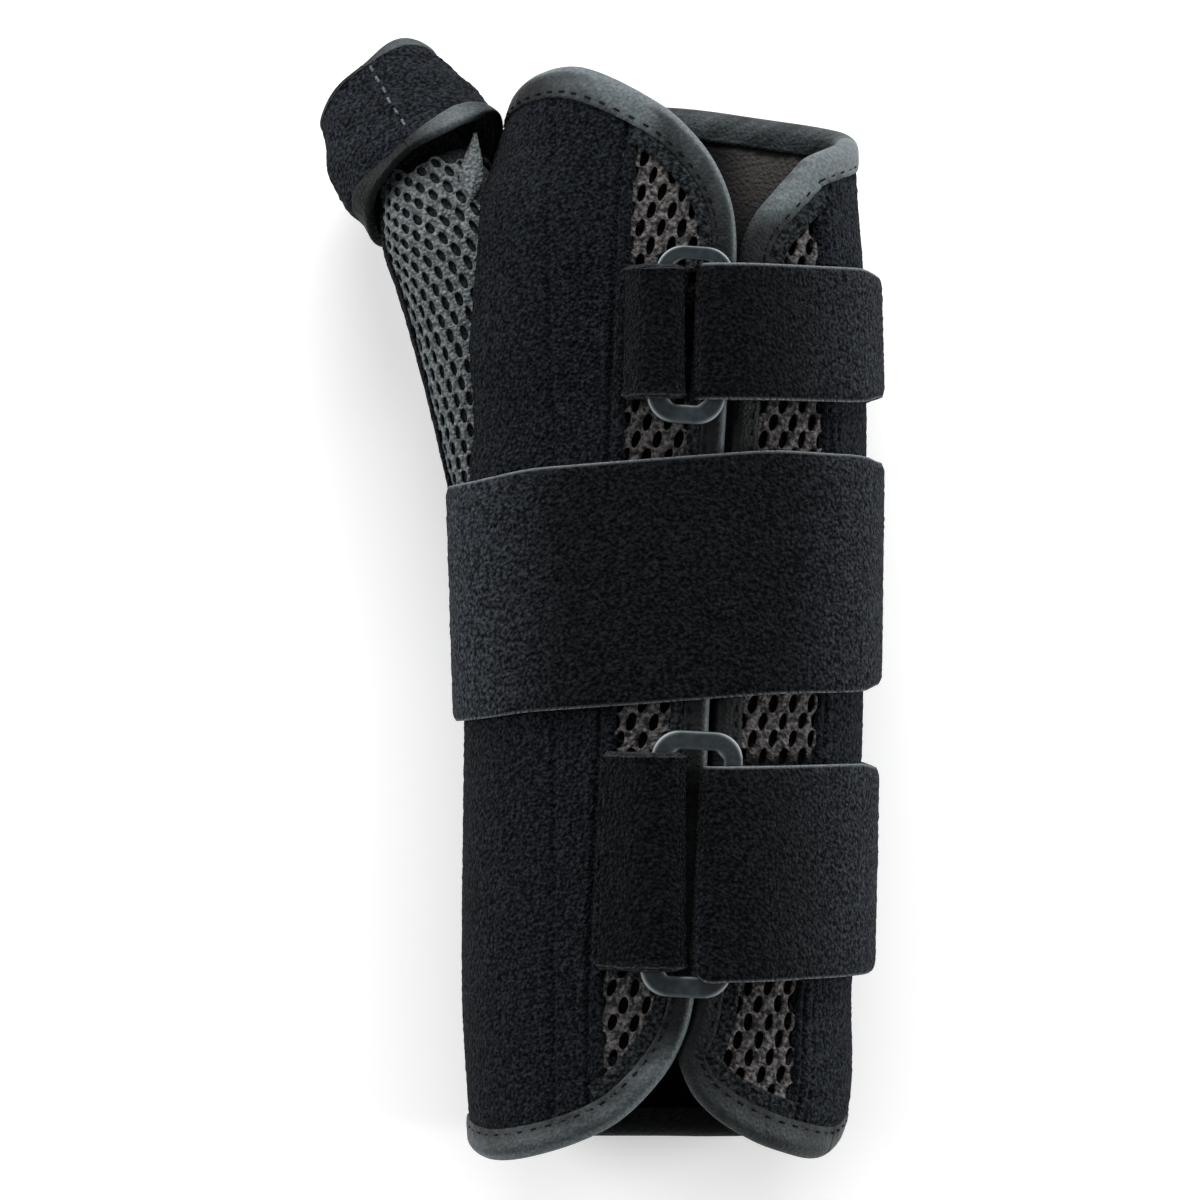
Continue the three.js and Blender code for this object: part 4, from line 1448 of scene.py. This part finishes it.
def closing_path(closure):
    middle, sideways, outward = ring_frame(closure)

    def lead(layer, y):
        return at_station([middle + sideways * FOLD_LEAD + outward * (layer * FOLD_HALF - FOLD_DROP)], y)

    def path(y):
        askew = tucked(closure["y"], y)
        flare = closure["flare"] if y < closure["y"] else 0

        def over(around):
            return STRAP + 2 * GAP + flare * step(around, 60, 90)

        up_the_side = strap_points(222, 58, 15, y, lambda around: GAP + 0 * around, askew)
        back_down = strap_points(58, 128, 12, y, over, askew)
        return np.vstack([up_the_side, lead(-1, y), fold_points(closure, 1, y), lead(1, y), back_down])

    return path


def tab_path(closure):
    turn = around_at(closure["tab_start"], closure["y"])

    def on_flap(y, out):
        return body_points(turn, y, flap_rise(turn) + out + STRAP / 2)[None]

    def path(y):
        return np.vstack([on_flap(y, GAP), fold_points(closure, -1, y), on_flap(y, STRAP + 2 * GAP)])

    return path


def middle_path(y):
    """The middle strap runs askew, arches up over the closure, and stands off at the thumb side."""
    high = y > MIDDLE_CUT[0]
    arch, bulge = (2.2, 2.3) if high else (1.1, 0.4)
    tuck = tucked(MIDDLE_CUT[0], y)

    def askew(x):
        return MIDDLE_SLOPE * (x - MIDDLE_X) + arch * step(x, -28, -10) * (1 - step(x, 28, 52)) + tuck(x)

    def out(around):
        turned = around - 360
        over_flap = step(turned, -70, 0) * (1 - step(turned, 26, 66))
        beside_thumb = bulge * bump(turned + 80, 24)
        return GAP + over_flap * 2.2 + step(around, 395, 430) * (STRAP + GAP) + beside_thumb

    return strap_points(74, 492, 70, y, out, askew)


print("closures:", ", ".join(CLOSURES))

# %% [markdown]
# A strap is swept along the paths of its two long edges, with its cut edges in a paler finish. Light is
# painted on it towards its sides, where it turns to the side lamps, with painted highlights along its long
# edges and at its fold, and some straps get an even lift in tone.

# %% Straps


ALONG = np.array([0.0, 1.0, 0.0])  # the way along the sleeve


def walk(points, shares):
    """Points and directions at even shares of a curve's length."""
    t = np.linspace(0, 1, 1500)
    line = curve_at(points, t)
    lengths = lengths_along(line)
    at = np.interp(shares * lengths[-1], lengths, t)
    ahead = unit(curve_at(points, at + 1e-4) - curve_at(points, at - 1e-4))
    return curve_at(points, at), ahead, lengths[-1]


def strap(name, node, path, cut, spacing, even_lift, fold_x, edge_highlight, rim):
    """A strap of pile cloth along a path. Its long edges follow the sleeve at their own stations."""
    y, width = cut
    long = walk(path(y), np.array([0.0]))[2]
    columns, rows = int(long / spacing), int(width / spacing)
    piece = cloth_grid(name, columns, rows, strap_cloth)
    flat = read_points(piece)
    low, low_ahead = walk(path(y - width / 2), flat[:, 0])[:2]
    high, high_ahead = walk(path(y + width / 2), flat[:, 0])[:2]
    share = flat[:, 1:2]
    middle = low * (1 - share) + high * share
    ahead = low_ahead * (1 - share) + high_ahead * share
    outward = unit(np.cross(ahead, ALONG))
    edge = np.minimum(share, 1 - share) * width
    flattened = -0.6 * np.exp(-edge / 0.8)
    placed = middle + outward * (STRAP / 2 + flattened + pile_height(len(flat), 0.07)[:, None])
    placed[:, 2] = np.maximum(placed[:, 2], 0.02)
    lay(piece, placed)
    # Painted highlight along both long edges.
    mark_points(piece, "edge", edge_highlight * (edge[:, 0] < 0.1))
    # Painted light towards the strap's left and right sides, where it turns to the side lamps, and a painted
    # highlight along its fold round the loop.
    at_sides = 0.95 * (1 - step(placed[:, 0], -30, -4)) + 0.55 * step(placed[:, 0], 32, 52)
    at_fold = 0.5 * bump(placed[:, 0] - fold_x, 0.7)
    mark_points(piece, "painted_light", even_lift + at_sides + at_fold)
    thicken(piece, STRAP - 0.1, rim)
    hand_over(piece, "strap_cloth", node)
    print("%s: %.0f mm long" % (name, long))


FAR = 1000.0  # fold place of a strap without a pale fold
for key, closure in CLOSURES.items():
    fold_x, even_lift = closure["ring_x"] + FOLD_REACH - STRAP / 2, closure["even_lift"]
    path = closing_path(closure)
    strap(key + "_closing_strap", key + "_strap", path, STRAP_CUTS[key], 0.75, even_lift, fold_x, 1.0, cut_edge)
    path = tab_path(closure)
    strap(key + "_tab", key + "_chafe", path, TAB_CUTS[key], 0.7, 0.0, FAR, 0.55, dark_edge)
strap("middle_strap_cloth", "middle_strap", middle_path, MIDDLE_CUT, 0.75, 0.06, FAR, 1.0, cut_edge)

# %% [markdown]
# ## Loops
# The loops are moulded plastic plates with a rounded bar all round. A grid is swept round a rounded
# rectangle and closed, and its section is a soft box. Highlights are painted along the section's upper
# corners.

# %% Loops
RING_BAR, RING_THICK, RING_CORNER = 3.6, 2.4, 5.2
BOXINESS = 7  # 2 is a round section, and more is squarer
# The two bevel angles are where highlights are painted, and BEVEL_WIDTH is their width.
BEVEL, BACK_BEVEL, BEVEL_WIDTH = 0.785, 2.356, 0.11  # angles of the section's two upper corners


def rounded_path(shares, width, height, corner):
    """Points and outward directions at shares of the way round a rounded rectangle."""
    corners = np.array([(1, 1), (-1, 1), (-1, -1), (1, -1)]) * (width / 2 - corner, height / 2 - corner)
    points, normals = [], []
    for i, middle in enumerate(corners):
        angles = np.radians(90 * i) + np.linspace(0, math.pi / 2, 12)
        turned = np.stack([np.cos(angles), np.sin(angles)], -1)
        points.append(middle + corner * turned)
        normals.append(turned)
    points, normals = np.vstack(points + [points[0][:1]]), np.vstack(normals + [normals[0][:1]])
    lengths = lengths_along(points)
    at = shares * lengths[-1]
    place = np.stack([np.interp(at, lengths, points[:, k]) for k in (0, 1)], -1)
    normal = np.stack([np.interp(at, lengths, normals[:, k]) for k in (0, 1)], -1)
    return place, unit(normal)


def loop(name, node, closure):
    piece = cloth_grid(name, 160, 48, loop_plastic)
    flat = read_points(piece)
    width, height = closure["ring_width"] - RING_BAR, closure["ring_height"] - RING_BAR
    place, normal = rounded_path(flat[:, 0], width, height, RING_CORNER - RING_BAR / 2)
    angle = 2 * math.pi * flat[:, 1]
    cosine, sine = np.cos(angle), np.sin(angle)
    box = (np.abs(cosine) ** BOXINESS + np.abs(sine) ** BOXINESS) ** (-1 / BOXINESS)
    share = place[:, 1] / closure["ring_height"] + 0.5
    corners = np.abs(2 * normal[:, 0] * normal[:, 1])
    bar = (closure["bars"][0] * (1 - share) + closure["bars"][1] * share) * (1 + 0.12 * corners)
    plane = place + normal * (RING_BAR / 2 - bar / 2 + bar / 2 * box * cosine)[:, None]
    lift = RING_THICK / 2 * box * sine
    slant = math.radians(closure["slant"])
    x = plane[:, 0] * math.cos(slant) - plane[:, 1] * math.sin(slant)
    y = plane[:, 0] * math.sin(slant) + plane[:, 1] * math.cos(slant)
    middle, sideways, outward = ring_frame(closure)
    lay(piece, middle + x[:, None] * sideways + lift[:, None] * outward + y[:, None] * ALONG)
    # Painted highlights along the section's two upper corners, strongest at the loop's rounded corners.
    bevel_highlights = bump(angle - BEVEL, BEVEL_WIDTH) + 0.6 * bump(angle - BACK_BEVEL, BEVEL_WIDTH)
    mark_points(piece, "edge", bevel_highlights * (0.25 + 0.75 * corners))
    merge_ends(piece, 0.01)
    hand_over(piece, "loop_plastic", node)
    print("%s: %.1f x %.1f mm" % (name, closure["ring_width"], closure["ring_height"]))


for key, closure in CLOSURES.items():
    loop(key + "_loop", key + "_ring", closure)

# %% [markdown]
# ## Stage
# The brace lies on a pale floor. Two broad soft lights stand low at its sides, because grazing light brings
# out the pile, and a third stands beyond the fingers. The camera looks straight down.

# %% Floor, light and camera
floor_bm = bmesh.new()
bmesh.ops.create_grid(floor_bm, x_segments=1, y_segments=1, size=3.0)
floor_material, floor_tree, floor_shader = new_material("Pale floor")
floor_shader.inputs["Roughness"].default_value = 0.9
floor_shader.inputs["Emission Strength"].default_value = 0.3
floor_place = add_node(floor_tree, "TexCoord")
floor_tone = add_node(floor_tree, "TexNoise", {"Scale": 3.0})
floor_range = add_node(floor_tree, "MapRange", {"To Min": 0.9, "To Max": 0.93})
floor_tree.links.new(floor_place.outputs["Object"], floor_tone.inputs["Vector"])
floor_tree.links.new(floor_tone.outputs["Fac"], floor_range.inputs["Value"])
for name in ("Base Color", "Emission Color"):
    floor_tree.links.new(floor_range.outputs["Result"], floor_shader.inputs[name])
floor = add_object("floor", floor_bm, floor_material)


LIT_PLACE = Vector((0, 0, 0.03))  # where every light is aimed


def soft_light(name, place, size, watts):
    data = bpy.data.lights.new(name, "AREA")
    data.shape = "RECTANGLE"
    data.size, data.size_y = size
    data.energy = watts
    light = bpy.data.objects.new(name, data)
    light.location = place
    light.rotation_euler = (LIT_PLACE - Vector(place)).to_track_quat("-Z", "Y").to_euler()
    bpy.context.scene.collection.objects.link(light)


soft_light("left light", (-0.9, 0.1, 0.26), (0.45, 1.0), 10.5)
soft_light("right light", (0.95, -0.05, 0.25), (0.45, 1.0), 10.5)
soft_light("far light", (0.1, 0.95, 0.5), (0.9, 0.4), 14)
world = bpy.data.worlds.new("studio")
world.use_nodes = True
world.node_tree.nodes["Background"].inputs["Color"].default_value = (1, 1, 1, 1)
world.node_tree.nodes["Background"].inputs["Strength"].default_value = 0.25
bpy.context.scene.world = world
bpy.context.scene.view_settings.view_transform = "Standard"

camera_data = bpy.data.cameras.new("camera")
camera_data.lens = 189
camera = bpy.data.objects.new("camera", camera_data)
camera.location = (ORIGIN[0] * MM, 0.2 * MM, 1.228)
bpy.context.scene.collection.objects.link(camera)
bpy.context.scene.camera = camera
print("lights:", len(bpy.data.lights))
